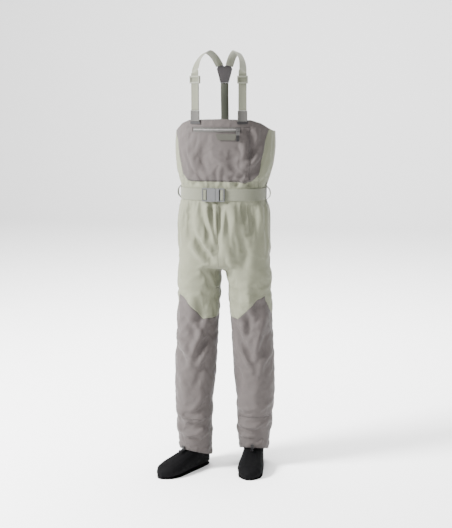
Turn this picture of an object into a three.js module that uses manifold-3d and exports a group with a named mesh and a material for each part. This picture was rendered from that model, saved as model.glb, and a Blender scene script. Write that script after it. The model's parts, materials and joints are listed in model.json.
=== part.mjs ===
// Stocking-foot chest waders, standing as they are worn.
// Millimetres, +Z up. The wearer faces -Y, so the wearer's left side is +X.
// The garment is a hollow shell of sewn panels, with neoprene socks, a belt, suspenders and a chest pocket.
import * as THREE from "three";
import { mergeVertices } from "three/addons/utils/BufferGeometryUtils.js";
import Module from "manifold-3d";

const wasm = await Module();
wasm.setup();

// ---------------------------------------------------------------- driving dimensions

const gap = 0.3; // between pieces that touch
const fabric = 2.5; // wall of a shell panel
const neoprene = 4; // wall of a sock
const soleThickness = 3;
const webbing = 2; // thickness of every strap and tape

// Heights: each is measured from the level below it.
const sockTop = 150; // floor to the seam of sock and leg
const kneeHeight = 510; // floor to the knee's axis
const thighLength = 290; // knee's axis to crotch
const rise = 280; // crotch to the middle of the belt
const bibRise = 280; // belt to the top of the bib
const strapRise = 244; // top of the bib to the top of the suspenders

// Girths, as half widths across and depths to the front and the back.
const chest = { right: 187, left: 189, front: 124, back: 100 };
const ribs = { right: 188, left: 188, front: 122, back: 102 };
const waist = { right: 161, left: 161, front: 109, back: 102 };
const hips = { right: 177, left: 178, front: 118, back: 120 };
const thigh = { half: 86, front: 98, back: 98 };
const knee = { half: 80, front: 86, back: 83 };
const calf = { half: 80, front: 82, back: 82 };
const shin = { half: 72, front: 76, back: 76 };
const ankle = { half: 50, front: 56, back: 56 };
const chestTurn = THREE.MathUtils.degToRad(6); // the chest is turned a little to the wearer's left
const chestShift = -2; // the chest's centre, across
const hipShift = -8; // the hips' centre, across

// Stance: where each leg's centre line runs, and how far the foot turns out.
const stance = {
  right: { side: -1, hip: [-99, 0], knee: [-109, -20], calf: [-119, -37], ankle: [-112, -55], toeOut: -30 },
  left: { side: 1, hip: [86, 0], knee: [104, 9], calf: [115, 17], ankle: [108, 23], toeOut: 5 },
};

// Bib, pocket and zip, in the chest's own turned frame.
const sideTopDrop = 48; // the rim's fall from the bib's top to the side
const backTopDrop = 62; // the rim's fall from the bib's top to the back
const bibBottomRise = 48; // belt to the bib's lower edge
const bib = { centre: -8 }; // across, from the chest's centre
const pocket = { from: -131, to: 101, top: 30 }; // top: below the bib's top
const zip = { from: -109, to: 67, radius: 310, drop: 39, standoff: 1.5, tapeHeight: 16, coilHeight: 5, coilThickness: 2 };
const patch = { from: -24, to: 54, height: 23, drop: 66, slant: 10 };

// Suspenders
const strapWidth = 30;
const strapMiddle = -13; // across, from the chest's centre, halfway between the straps
const anchorAcross = 87; // from there to each front strap
const anchorDrop = 14; // the anchor bar, below the bib's top
const holderRise = 30; // the grey webbing holder above the bib's top
const adjusterRise = 142; // the adjuster, above the bib's top
const yoke = { top: 198, height: 68, topWidth: 60, bottomWidth: 32, notch: 6, depth: 88 }; // top: above the bib's top

// Belt and its buckle
const beltWidth = 45;
const beltStandoff = 1.2; // air between shell and belt
const beltZone = beltWidth / 2 + 3.5; // above and below the belt's middle, where the shell is drawn in evenly
const buckle = { left: -66, split: -15, right: 19, height: beltWidth + 5, depth: 11 };
const loopBulge = 15; // how far a side belt loop stands off the belt
const loopWidth = 18;

// Lower leg
const kneeSeamLow = 84; // knee's axis to the low end of the slanted seam
const kneeSeamHigh = 178; // knee's axis to its peak
const kneeBottom = 70; // knee's axis down to the rigid shin
const guard = { top: 205, hem: 62, topHalf: 69, hemHalf: 57, hemFront: 63, hemBack: 76, wall: 2.5, slope: 0.34 };
const foot = { length: 264, heelBehindAnkle: 66 };

const TORSO_SIDES = 32;
const LEG_SIDES = 20;
const FOOT_SIDES = 16;

// Levels worked out from the heights above
const crotch = kneeHeight + thighLength;
const beltLevel = crotch + rise;
const bibTop = beltLevel + bibRise;
const sideTop = bibTop - sideTopDrop;
const backTop = bibTop - backTopDrop;
const bibBottom = beltLevel + bibBottomRise;
const shinTop = kneeHeight - kneeBottom;

// ---------------------------------------------------------------- colours and finishes

const finish = (color, roughness, metalness = 0) => new THREE.MeshStandardMaterial({ color, roughness, metalness });
const sage = finish(0xa9ab9b, 0.75);
const taupe = finish(0x8d8683, 0.75);
const sageWebbing = finish(0xa5a796, 0.85);
const greyWebbing = finish(0x85827d, 0.85);
const olive = finish(0x55584a, 0.9);
const charcoal = finish(0x3f3c3c, 0.85);
const black = finish(0x17181a, 0.9);
const buckleGrey = finish(0x85878a, 0.5);
const adjusterSage = finish(0xb0b3a2, 0.5);
const coilSilver = finish(0xb5adac, 0.4);
const tapeWhite = finish(0xc9c9c4, 0.6);
const metal = finish(0x6d6f70, 0.35, 0.9);

// ---------------------------------------------------------------- solids

// A closed geometry as a manifold-3d solid.
function solidOf(geometry) {
  const loose = geometry.index ? geometry.toNonIndexed() : geometry;
  const bare = new THREE.BufferGeometry().setAttribute("position", loose.getAttribute("position"));
  const merged = mergeVertices(bare, 1e-3);
  return new wasm.Manifold(
    new wasm.Mesh({
      numProp: 3,
      vertProperties: new Float32Array(merged.attributes.position.array),
      triVerts: new Uint32Array(merged.index.array),
    }),
  );
}

function geometryOf(solid) {
  const mesh = solid.getMesh();
  const positions = new Float32Array(mesh.numVert * 3);
  for (let i = 0; i < mesh.numVert; i++) {
    positions.set(mesh.vertProperties.subarray(i * mesh.numProp, i * mesh.numProp + 3), i * 3);
  }
  return new THREE.BufferGeometry()
    .setAttribute("position", new THREE.BufferAttribute(positions, 3))
    .setIndex(new THREE.BufferAttribute(mesh.triVerts, 1));
}

// A skin over rings of equal length, closed at both ends, or joined end to start when it goes round.
// Each ring runs anticlockwise as seen from the next one.
function skin(rings, goesRound = false) {
  const count = rings[0].length;
  const positions = rings.flat().flatMap((p) => [p.x, p.y, p.z]);
  const faces = [];
  const last = goesRound ? rings.length : rings.length - 1;
  for (let i = 0; i < last; i++) {
    const next = (i + 1) % rings.length;
    for (let j = 0; j < count; j++) {
      const k = (j + 1) % count;
      faces.push(i * count + j, i * count + k, next * count + k);
      faces.push(i * count + j, next * count + k, next * count + j);
    }
  }
  if (!goesRound) {
    for (const [ring, flip] of [[0, true], [rings.length - 1, false]]) {
      const centre = rings[ring].reduce((sum, p) => sum.add(p), new THREE.Vector3()).divideScalar(count);
      const middle = positions.length / 3;
      positions.push(centre.x, centre.y, centre.z);
      for (let j = 0; j < count; j++) {
        const a = ring * count + j;
        const b = ring * count + ((j + 1) % count);
        faces.push(...(flip ? [middle, b, a] : [middle, a, b]));
      }
    }
  }
  return new THREE.BufferGeometry()
    .setAttribute("position", new THREE.BufferAttribute(new Float32Array(positions), 3))
    .setIndex(faces);
}

const X = new THREE.Vector3(1, 0, 0);
const Y = new THREE.Vector3(0, 1, 0);
const Z = new THREE.Vector3(0, 0, 1);

// An outline in x and z, pushed through from y0 to y1.
function prismXZ(points, y0, y1) {
  const shape = new THREE.Shape(points.map(([x, z]) => new THREE.Vector2(x, z)));
  return new THREE.ExtrudeGeometry(shape, { depth: y1 - y0, bevelEnabled: false })
    .applyMatrix4(new THREE.Matrix4().makeBasis(X, Z, Y.clone().negate()))
    .translate(0, y1, 0);
}

// An outline in y and z, pushed through from x0 to x1.
function prismYZ(points, x0, x1) {
  const shape = new THREE.Shape(points.map(([y, z]) => new THREE.Vector2(y, z)));
  return new THREE.ExtrudeGeometry(shape, { depth: x1 - x0, bevelEnabled: false })
    .applyMatrix4(new THREE.Matrix4().makeBasis(Y, Z, X))
    .translate(x0, 0, 0);
}

function block(x0, x1, y0, y1, z0, z1) {
  return new THREE.BoxGeometry(x1 - x0, y1 - y0, z1 - z0).translate((x0 + x1) / 2, (y0 + y1) / 2, (z0 + z1) / 2);
}

const blockSolid = (...limits) => solidOf(block(...limits));

// A rounded rectangle in x and z, pushed through from y0 to y1.
function roundedPlate(x0, x1, z0, z1, radius, y0, y1) {
  const shape = new THREE.Shape();
  shape.moveTo(x0 + radius, z0);
  shape.lineTo(x1 - radius, z0);
  shape.absarc(x1 - radius, z0 + radius, radius, -Math.PI / 2, 0);
  shape.lineTo(x1, z1 - radius);
  shape.absarc(x1 - radius, z1 - radius, radius, 0, Math.PI / 2);
  shape.lineTo(x0 + radius, z1);
  shape.absarc(x0 + radius, z1 - radius, radius, Math.PI / 2, Math.PI);
  shape.lineTo(x0, z0 + radius);
  shape.absarc(x0 + radius, z0 + radius, radius, Math.PI, 1.5 * Math.PI);
  return new THREE.ExtrudeGeometry(shape, { depth: y1 - y0, bevelEnabled: false, curveSegments: 4 })
    .applyMatrix4(new THREE.Matrix4().makeBasis(X, Z, Y.clone().negate()))
    .translate(0, y1, 0);
}

// A flat strap along a curve. Its width lies across the given outward directions.
function strap(points, outwards, width, thickness, steps) {
  const path = new THREE.CatmullRomCurve3(points.map((p) => new THREE.Vector3(...p)), false, "centripetal");
  const facing = new THREE.CatmullRomCurve3(outwards.map((p) => new THREE.Vector3(...p)), false, "centripetal");
  const rings = [];
  for (let i = 0; i <= steps; i++) {
    const along = path.getTangent(i / steps);
    const across = facing.getPoint(i / steps).cross(along).normalize();
    const out = along.clone().cross(across).normalize();
    const corner = (w, n) =>
      path.getPoint(i / steps).addScaledVector(across, (w * width) / 2).addScaledVector(out, (n * thickness) / 2);
    rings.push([corner(-1, -1), corner(1, -1), corner(1, 1), corner(-1, 1)]);
  }
  return skin(rings);
}

// ---------------------------------------------------------------- the form that the shell follows

// Rows of [height, values...], rising, as a smooth function of height.
function smoothTable(rows) {
  const heights = rows.map((row) => row[0]);
  const values = rows.flatMap((row) => row.slice(1));
  const curve = new THREE.CubicInterpolant(heights, values, rows[0].length - 1);
  return (z) => Array.from(curve.evaluate(z));
}

// One level ring of the body: a superellipse whose four reaches differ, turned about Z.
function bodyRing(z, centre, reach, squareness, turn, inset, sides) {
  const [right, left, front, back] = reach;
  return Array.from({ length: sides }, (_, i) => {
    const angle = (i / sides) * 2 * Math.PI;
    const c = Math.cos(angle);
    const s = Math.sin(angle);
    const x = Math.sign(c) * Math.abs(c) ** (2 / squareness) * ((c > 0 ? left : right) - inset);
    const y = Math.sign(s) * Math.abs(s) ** (2 / squareness) * ((s > 0 ? back : front) - inset);
    return new THREE.Vector3(x, y, 0).applyAxisAngle(Z, turn).add(new THREE.Vector3(centre[0], centre[1], z));
  });
}

const girth = (g) => [g.right, g.left, g.front, g.back];
const legGirth = (g) => [g.half, g.half, g.front, g.back];

// Height, right, left, front, back, squareness, centre across, turn.
const torsoAt = smoothTable([
  [crotch - 12, 150, 150, 58, 62, 2.2, hipShift, 0],
  [crotch + 20, 174, 176, 98, 104, 2.4, hipShift, 0],
  [crotch + 0.5 * rise, ...girth(hips), 2.4, hipShift, 0],
  [beltLevel - 60, 172, 172, 113, 110, 2.5, hipShift, 0],
  [beltLevel - beltZone, ...girth(waist), 2.7, hipShift, 0],
  [beltLevel + beltZone, ...girth(waist), 2.7, hipShift, 0],
  [beltLevel + 80, 176, 176, 117, 104, 2.6, 0.5 * (hipShift + chestShift), 0.35 * chestTurn],
  [beltLevel + 160, ...girth(ribs), 2.4, chestShift, 0.8 * chestTurn],
  [sideTop, ...girth(chest), 2.2, chestShift, chestTurn],
  [bibTop + 10, 183, 185, 122, 96, 2.2, chestShift, chestTurn],
]);

function torsoRing(z, inset) {
  const [right, left, front, back, squareness, across, turn] = torsoAt(z);
  return bodyRing(z, [across, 0], [right, left, front, back], squareness, turn, inset, TORSO_SIDES);
}

// The leg's centre line and girth at each height, for one side.
function legTable(side) {
  const s = stance[side];
  return smoothTable([
    [guard.hem, ...s.ankle, ankle.half, ankle.half, ankle.front, ankle.back],
    [sockTop, ...s.ankle, ...legGirth(ankle)],
    [guard.top, (s.ankle[0] + s.calf[0]) / 2, (s.ankle[1] + s.calf[1]) / 2, 64, 64, 68, 68],
    [kneeHeight - 240, ...s.calf, ...legGirth(shin)],
    [kneeHeight - 120, (s.calf[0] + s.knee[0]) / 2, (s.calf[1] + s.knee[1]) / 2, ...legGirth(calf)],
    [kneeHeight, ...s.knee, ...legGirth(knee)],
    [kneeHeight + 0.6 * thighLength, 0.5 * (s.knee[0] + s.hip[0]), 0.4 * s.knee[1], 84, 84, 92, 92],
    [crotch, ...s.hip.map((v, i) => v + [4 * s.side, 0.1 * s.knee[1]][i]), ...legGirth(thigh)],
    [crotch + 90, ...s.hip, 86, 86, 96, 98],
  ]);
}

const legAt = { right: legTable("right"), left: legTable("left") };

function legRing(side, z, inset) {
  const [x, y, ...reach] = legAt[side](z);
  return bodyRing(z, [x, y], reach, 2.15, 0, inset, LEG_SIDES);
}

const levels = (from, to, steps) => Array.from({ length: steps + 1 }, (_, i) => from + ((to - from) * i) / steps);

function torsoSolid(inset) {
  const low = levels(crotch - 12 + inset, beltLevel - beltZone, 8);
  const high = levels(beltLevel + beltZone, bibTop + 10, 7);
  const heights = [...low, ...high];
  return solidOf(skin(heights.map((z) => torsoRing(z, inset))));
}

// The leg's rings stand closer together at the ankle, where it narrows fastest.
const legLevels = [
  ...[0, 14, 32, 55, 90].map((z) => sockTop + z),
  ...levels(kneeHeight - 200, kneeHeight, 4),
  ...levels(kneeHeight + 60, crotch + 90, 5),
];

function legSolid(side, inset, lift) {
  return solidOf(skin([sockTop + lift, ...legLevels.slice(1)].map((z) => legRing(side, z, inset))));
}

// A sleeve between two insets of the torso or of a leg.
const torsoSleeve = (outer, inner) => torsoSolid(outer).subtract(torsoSolid(inner));

// The whole shell: torso and legs joined, hollow, open at the rim and at the ankles.
function shellSolid() {
  const outside = ["right", "left"].reduce(
    (whole, side) => whole.add(legSolid(side, 0, 0)),
    torsoSolid(0),
  );
  const inside = ["right", "left"].reduce(
    (whole, side) => whole.add(legSolid(side, fabric, -5)),
    torsoSolid(fabric),
  );
  return outside.subtract(inside).subtract(blockSolid(-300, 300, -300, 300, bibTop + 5, bibTop + 50));
}

// ---------------------------------------------------------------- cutting lines

const FAR = 400;
const turnChest = (geometry) => geometry.rotateZ(chestTurn).translate(chestShift, 0, 0);

// Everything above the rim, which dips at the sides and the back.
function aboveRim() {
  const side = chest.left + 60;
  const over = bibTop + 60;
  const front = [
    [-side, sideTop], [2 - chest.right, sideTop], [bib.centre - 146, bibTop - 17], [bib.centre - 116, bibTop - 4],
    [bib.centre, bibTop], [bib.centre + 112, bibTop - 4], [bib.centre + 150, bibTop - 17],
    [chest.left - 2, sideTop], [side, sideTop], [side, over], [-side, over],
  ];
  const back = [
    [-side, sideTop], [-150, sideTop], [-110, backTop], [strapMiddle - 36, backTop], [strapMiddle - 24, backTop + 16],
    [strapMiddle + 24, backTop + 16], [strapMiddle + 36, backTop], [100, backTop], [150, sideTop], [side, sideTop], [side, over], [-side, over],
  ];
  return solidOf(turnChest(prismXZ(front, -FAR, 0.01))).add(solidOf(turnChest(prismXZ(back, 0, FAR))));
}

// The grey bib's outline, tapering to the belt, with its lower corners cut off.
function bibCutter(grow) {
  const half = [[114, bibBottom - grow], [142, bibBottom + 30], [149, bibBottom + 62], [158, bibBottom + 116],
    [174, bibBottom + 186], [222, bibTop + 40]];
  const right = half.map(([x, z]) => [bib.centre - x - grow, z]);
  const left = half.map(([x, z]) => [bib.centre + x + grow, z]).reverse();
  return solidOf(turnChest(prismXZ([...right, ...left].reverse(), -FAR, grow)));
}

// Side seams: a line in y that follows the legs' centre lines down.
function sideSeam(side, front, offset) {
  const s = stance[side];
  const line = [[0, bibTop], [0, crotch + 40], [s.knee[1], kneeHeight], [s.ankle[1], sockTop], [s.ankle[1], 0]];
  const far = front ? -FAR : FAR;
  const edge = line.map(([y, z]) => [y + (front ? -offset : offset), z]);
  const outline = [...edge, [far, 0], [far, bibTop]];
  return solidOf(prismYZ(front ? outline.reverse() : outline, -FAR, FAR));
}

// Everything below the slanted seam over the knee, where the grey lower leg starts.
function belowKneeSeam(side, drop) {
  const s = stance[side];
  const [x] = s.knee;
  const low = kneeHeight + kneeSeamLow - drop;
  const high = kneeHeight + kneeSeamHigh - drop;
  const outer = knee.half;
  const line = [[-2.2, low + 4], [-0.5, low + 4], [0.45, high - 12], [0.75, high], [0.98, low + 10], [1.6, low]];
  const edge = line.map(([share, z]) => [x + s.side * share * outer, z]);
  const outline = [...edge, [edge.at(-1)[0], 0], [edge[0][0], 0]];
  return solidOf(prismXZ(s.side > 0 ? outline.reverse() : outline, -FAR, FAR));
}

// ---------------------------------------------------------------- shell panels

const garment = new THREE.Group();

function add(name, geometry, material, parent = garment) {
  const mesh = new THREE.Mesh(geometry, material);
  mesh.name = name;
  parent.add(mesh);
}

const addSolid = (name, solid, material, parent) => add(name, geometryOf(solid), material, parent);

const shell = shellSolid().subtract(aboveRim());
const half = gap / 2;

// Above the belt: bib, waist band, two sides and the back.
function upperPanels() {
  const upper = shell.subtract(blockSolid(-FAR, FAR, -FAR, FAR, 0, beltLevel + half));
  addSolid("bib_front_panel", upper.intersect(bibCutter(0)), taupe);
  const rest = upper.subtract(bibCutter(gap));
  const frontBand = (grow) => blockSolid(-114 - grow, 112 + grow, -FAR, 0, 0, bibBottom + 25);
  const backBand = (grow) => blockSolid(-118 - grow, 118 + grow, 0, FAR, 0, FAR * 4);
  addSolid("front_waist_panel", rest.intersect(frontBand(0)), sage);
  addSolid("back_panel", rest.intersect(backBand(0)), sage);
  const sides = rest.subtract(frontBand(gap)).subtract(backBand(gap));
  addSolid("right_side_panel", sides.intersect(blockSolid(-FAR, 0, -FAR, FAR, 0, FAR * 4)), sage);
  addSolid("left_side_panel", sides.intersect(blockSolid(0, FAR, -FAR, FAR, 0, FAR * 4)), sage);
}

// Below the belt: the gusset, and for each leg a front, a seat, a knee and a shin.
function lowerPanels() {
  const lower = shell.subtract(blockSolid(-FAR, FAR, -FAR, FAR, beltLevel - half, FAR * 4));
  const gusset = (grow) =>
    blockSolid(hipShift - 42 - grow, hipShift + 42 + grow, -52 - grow, 52 + grow, crotch - 90 - grow, crotch + 14 + grow);
  addSolid("crotch_gusset", lower.intersect(gusset(0)), sage);
  for (const side of ["right", "left"]) {
    const s = stance[side];
    const own = s.side > 0 ? [hipShift + half, FAR] : [-FAR, hipShift - half];
    const leg = lower.subtract(gusset(gap)).intersect(blockSolid(...own, -FAR, FAR, 0, FAR * 4));
    const above = leg.subtract(belowKneeSeam(side, 0));
    addSolid(`${side}_front_leg_panel`, above.intersect(sideSeam(side, true, half)), sage);
    addSolid(`${side}_seat_panel`, above.intersect(sideSeam(side, false, half)), sage);
    const below = leg.intersect(belowKneeSeam(side, gap));
    addSolid(`${side}_knee_panel`, below.intersect(blockSolid(-FAR, FAR, -FAR, FAR, shinTop + gap, FAR * 4)), taupe);
    addSolid(`${side}_shin_panel`, below.intersect(blockSolid(-FAR, FAR, -FAR, FAR, sockTop + gap, shinTop)), taupe);
  }
}

// A layer that lies on the torso, from one inset to another, limited by a cutter.
const torsoLayer = (outer, inner, cutter) => torsoSleeve(outer, inner).intersect(cutter);

// ---------------------------------------------------------------- chest pocket and its zip

// A point on the chest's front in the chest's own frame: how far forward, and which way the cloth looks.
function chestFront(x, z) {
  const [right, left, front, , squareness] = torsoAt(z);
  const share = Math.abs(x) / (x < 0 ? right : left);
  const depth = (1 - share ** squareness) ** (1 / squareness);
  const slope = (front / (x < 0 ? right : left)) * (share / depth) ** (squareness - 1);
  return { y: -front * depth, angle: Math.sign(x) * Math.atan(slope) };
}

const chestGroup = new THREE.Group();
chestGroup.rotation.z = chestTurn;
chestGroup.position.x = chestShift;
garment.add(chestGroup);

// The zip is an arc about an upright line behind the chest.
const zipLevel = bibTop - zip.drop;
const zipGroup = new THREE.Group();
zipGroup.position.y = chestFront(0, zipLevel).y - gap - zip.standoff + zip.radius;
chestGroup.add(zipGroup);

// A bar along the zip's arc, between two heights and two distances in front of the tape's back.
function arcBar(z0, z1, back, front) {
  const rings = levels(zip.from, zip.to, 12).map((x) => {
    const angle = x / zip.radius;
    const at = (reach, z) => new THREE.Vector3(Math.sin(angle), -Math.cos(angle), 0).multiplyScalar(reach).setZ(z);
    const near = zip.radius + back;
    const far = zip.radius + front;
    return [at(far, z0), at(near, z0), at(near, z1), at(far, z1)];
  });
  return skin(rings);
}

function pocketParts() {
  const region = (x0, x1, z0, z1) => solidOf(turnChest(block(x0, x1, -FAR, 0, z0, z1)));
  const slotHalf = zip.tapeHeight / 2 + gap;
  const slot = region(zip.from - gap, zip.to + gap, zipLevel - slotHalf, zipLevel + slotHalf);
  const panel = region(pocket.from, pocket.to, bibBottom + 4, bibTop - pocket.top);
  addSolid("chest_pocket_panel", torsoLayer(-gap - webbing, -gap, panel).subtract(slot), taupe);
  const bag = region(pocket.from + 16, pocket.to - 16, bibBottom + 30, bibTop - pocket.top);
  addSolid("pocket_lining", torsoLayer(fabric + gap, fabric + gap + 1.5, bag), charcoal);
}

function zipParts() {
  const tapeHalf = zip.tapeHeight / 2;
  const coilHalf = zip.coilHeight / 2;
  const coilBack = webbing + gap;
  const coilFront = coilBack + zip.coilThickness;
  add("zip_tape", arcBar(zipLevel - tapeHalf, zipLevel + tapeHalf, 0, webbing), greyWebbing, zipGroup);
  add("zip_coil", arcBar(zipLevel - coilHalf, zipLevel + coilHalf, coilBack, coilFront), coilSilver, zipGroup);

  // The slider stands on the arc at the zip's closed end.
  const sliderHalf = 7;
  const sliderGroup = new THREE.Group();
  sliderGroup.rotation.z = (zip.to - 2 - sliderHalf) / zip.radius;
  zipGroup.add(sliderGroup);

  // It straddles the coil: a face plate with two flanges and a bridge for the pull.
  const face = -zip.radius - coilFront - gap;
  const flangeBack = -zip.radius - coilBack;
  const flange = (z0, z1) => blockSolid(1 - sliderHalf, sliderHalf - 1, face - 0.5, flangeBack, z0, z1);
  const bridge = blockSolid(-3, 3, face - 6, face - 1.9, zipLevel - 4, zipLevel + 4)
    .subtract(blockSolid(-4, 4, face - 4.5, face - 2.1, zipLevel - 2, zipLevel + 2));
  const body = solidOf(roundedPlate(-sliderHalf, sliderHalf, zipLevel - 6, zipLevel + 6, 2, face - 2, face))
    .add(flange(zipLevel + coilHalf + gap, zipLevel + coilHalf + 2.4))
    .add(flange(zipLevel - coilHalf - 2.4, zipLevel - coilHalf - gap));
  addSolid("zip_slider", body.add(bridge), metal, sliderGroup);

  // The pull hangs from the bridge by a bar through its window, with a moulded grip below.
  const barHalf = 0.8;
  const plate = roundedPlate(-6.5, 6.5, zipLevel - 20, zipLevel + barHalf, 0.5, face - 4, face - 2.6);
  const hole = blockSolid(-4, 4, face - 9, face + 1, zipLevel - 8, zipLevel - barHalf);
  addSolid("zip_pull", solidOf(plate).subtract(hole), metal, sliderGroup);
  const grip = roundedPlate(-5, 5, zipLevel - 42, zipLevel - 20 - gap, 2.5, face - 5.3, face - 1.8);
  add("zip_pull_grip", grip, charcoal, sliderGroup);
}

// A flat patch, laid on the pocket panel about its own middle.
function dockPatch() {
  const middle = (patch.from + patch.to) / 2;
  const half = (patch.to - patch.from) / 2;
  const top = bibTop - patch.drop + patch.height / 2;
  const bottom = top - patch.height;
  const { angle } = chestFront(middle, bottom);
  const y = Math.min(chestFront(middle, bottom).y, chestFront(middle, top).y) - gap;
  const outline = [[patch.slant - half, bottom], [half - 4, bottom], [half, top], [-half, top]];
  const laid = prismXZ(outline, -webbing - 2 * gap - 1.7, -webbing - 2 * gap - 0.2)
    .rotateZ(angle)
    .translate(middle, y, 0);
  add("dock_patch", laid, greyWebbing, chestGroup);
}

// ---------------------------------------------------------------- suspenders

const strapTop = bibTop + strapRise;
const yokeTop = bibTop + yoke.top;
const anchorLevel = bibTop - anchorDrop;
const strapOut = 4; // the strap's middle, in front of the bib
const strapStart = bibTop + holderRise + gap;
const adjusterLevel = bibTop + adjusterRise;

// Where a front strap meets the bib.
function strapAnchor(m) {
  const x = strapMiddle + m * anchorAcross;
  return { x, ...chestFront(x, anchorLevel) };
}

// One strap in the chest's frame, from its holder up over the shoulder to the yoke.
function shoulderStrap(m) {
  const { x, y, angle } = strapAnchor(m);
  const away = new THREE.Vector3(Math.sin(angle), -Math.cos(angle), 0);
  const fx = x + strapOut * away.x;
  const fy = y + strapOut * away.y;
  const across = (share) => strapMiddle + m * share * anchorAcross;
  const straight = [strapStart, adjusterLevel - 20, adjusterLevel + 14, adjusterLevel + 26];
  const points = [
    ...straight.map((z) => [fx, fy, z]),
    [fx, fy + 14, strapTop - 66],
    [across(0.93), -66, strapTop - 32],
    [across(0.64), -5, strapTop],
    [across(0.4), 45, strapTop - 16],
    [across(0.21), yoke.depth, yokeTop - 4],
  ];
  const outwards = [
    ...straight.map(() => away.toArray()),
    [m * 0.45, -0.9, 0.1], [m * 0.7, -0.6, 0.6], [m * 0.45, 0, 1], [m * 0.1, 0.6, 0.9], [0, 1, 0.35],
  ];
  return strap(points, outwards, strapWidth, webbing, 34);
}

// The strap's end, its holder, anchor bar and adjuster, built flat on the bib at the anchor.
function frontStrapParts(side, m) {
  const { x, y, angle } = strapAnchor(m);
  const onBib = new THREE.Group();
  onBib.position.set(x, y, 0);
  onBib.rotation.z = angle;
  chestGroup.add(onBib);
  const w = strapWidth / 2;
  add(`${side}_shoulder_strap`, shoulderStrap(m), sageWebbing, chestGroup);

  // The strap's end comes back up behind it to the adjuster.
  const returnFront = -strapOut + webbing / 2 + 1.2;
  const returnBack = returnFront + webbing;
  add(`${side}_strap_return`, block(-w, w, returnFront, returnBack, strapStart, adjusterLevel + 8), olive, onBib);

  // Grey webbing holder, sewn to the bib at the dark anchor bar.
  const holder = block(-w - 3, w + 3, -5.4 - gap, -gap, anchorLevel + 5, bibTop + holderRise);
  add(`${side}_strap_holder`, holder, greyWebbing, onBib);
  const bar = roundedPlate(-20, 20, anchorLevel - 5, anchorLevel + 5 - gap, 2, -3 - gap, -gap);
  add(`${side}_strap_anchor`, bar, charcoal, onBib);

  // The adjuster: two front rails and a rear bar, joined by cheeks beside the strap.
  const front = -strapOut - webbing / 2 - 0.5;
  const rear = returnBack + 0.5;
  const z0 = adjusterLevel - 14;
  const z1 = adjusterLevel + 14;
  const rail = (z) => blockSolid(-w - 4, w + 4, front - 2.5, front, z - 3, z + 3);
  const adjuster = blockSolid(-w - 4.5, -w - 1, front - 2.5, rear + 2.5, z0, z1)
    .add(blockSolid(w + 1, w + 4.5, front - 2.5, rear + 2.5, z0, z1))
    .add(rail(adjusterLevel - 11))
    .add(rail(adjusterLevel + 11))
    .add(blockSolid(-w - 4, w + 4, rear, rear + 2.5, adjusterLevel - 3, adjusterLevel + 3));
  addSolid(`${side}_adjuster`, adjuster, adjusterSage, onBib);
}

// The yoke joins both shoulder straps to the back strap.
function yokeParts() {
  const bottom = yokeTop - yoke.height;
  const a = yoke.topWidth / 2;
  const b = yoke.bottomWidth / 2;
  const outer = yoke.depth + webbing / 2 + 2 * gap;
  const outline = [[-b, bottom], [b, bottom], [a, yokeTop - 16], [a - 5, yokeTop - 4], [8, yokeTop],
    [0, yokeTop - yoke.notch], [-8, yokeTop], [5 - a, yokeTop - 4], [-a, yokeTop - 16]];
  const innerTop = yokeTop - 18;
  const inner = [[-b, bottom], [b, bottom], [a - 1, innerTop], [1 - a, innerTop]];
  const pair = solidOf(prismXZ(outline, outer, outer + 2)).add(solidOf(prismXZ(inner, outer - 2.8, outer + 0.5)));
  addSolid("yoke", pair.translate([strapMiddle, 0, 0]), charcoal, chestGroup);

  const backFace = torsoAt(backTop - 52)[3];
  const line = [[backFace + 3, backTop - 20], [backFace + 3, backTop + 12], [backFace - 2, backTop + 90],
    [outer + 1, bottom - 40], [outer + 1, bottom - gap]];
  const points = line.map(([y, z]) => [strapMiddle, y, z]);
  const backStrap = strap(points, points.map(() => [0, 1, 0]), strapWidth, webbing, 12);
  add("back_strap", backStrap, olive, chestGroup);
  const sewn = roundedPlate(-22, 22, backTop - 52, backTop - 20 - gap, 4, backFace + 1, backFace + 3.5);
  add("back_strap_patch", sewn.translate(strapMiddle, 0, 0), charcoal, chestGroup);
}

// ---------------------------------------------------------------- belt, buckle and loops

const beltIn = beltStandoff;
const beltOut = beltStandoff + webbing;

// A level band round the waist, following the form at the belt's own level.
function waistBand(inner, outer, height) {
  const section = (reach) => torsoRing(beltLevel + beltZone, -reach);
  const rings = section(inner).map((p, i) => {
    const q = section(outer)[i];
    const low = beltLevel - height / 2;
    const high = beltLevel + height / 2;
    return [
      new THREE.Vector3(p.x, p.y, low), new THREE.Vector3(p.x, p.y, high),
      new THREE.Vector3(q.x, q.y, high), new THREE.Vector3(q.x, q.y, low),
    ];
  });
  return solidOf(skin(rings, true));
}

const beltFront = -waist.front - beltOut; // the belt's outer face at the centre front
const buckleBack = beltFront - 0.6;
const buckleFront = buckleBack - buckle.depth;

function beltParts() {
  const opening = blockSolid(buckle.left + 4, buckle.right - 4, -FAR, 0, 0, FAR * 4);
  addSolid("belt_webbing", waistBand(beltIn, beltOut, beltWidth).subtract(opening), sageWebbing);

  // Each belt end is folded round its bar of the buckle.
  const fold = (x0, x1) => {
    const halfWidth = beltWidth / 2 - 3;
    const outer = blockSolid(x0, x1, buckleBack - 7.4, buckleBack - 0.4, beltLevel - halfWidth, beltLevel + halfWidth);
    const core = blockSolid(x0 + 2, x1 - 2, buckleBack - 5.4, buckleBack - 2.4, -FAR, FAR * 4);
    return outer.subtract(core);
  };
  addSolid("belt_fold_right", fold(buckle.left + 3.4, buckle.left + 17), sageWebbing);
  addSolid("belt_fold_left", fold(buckle.right - 17, buckle.right - 3.4), sageWebbing);
}

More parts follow.
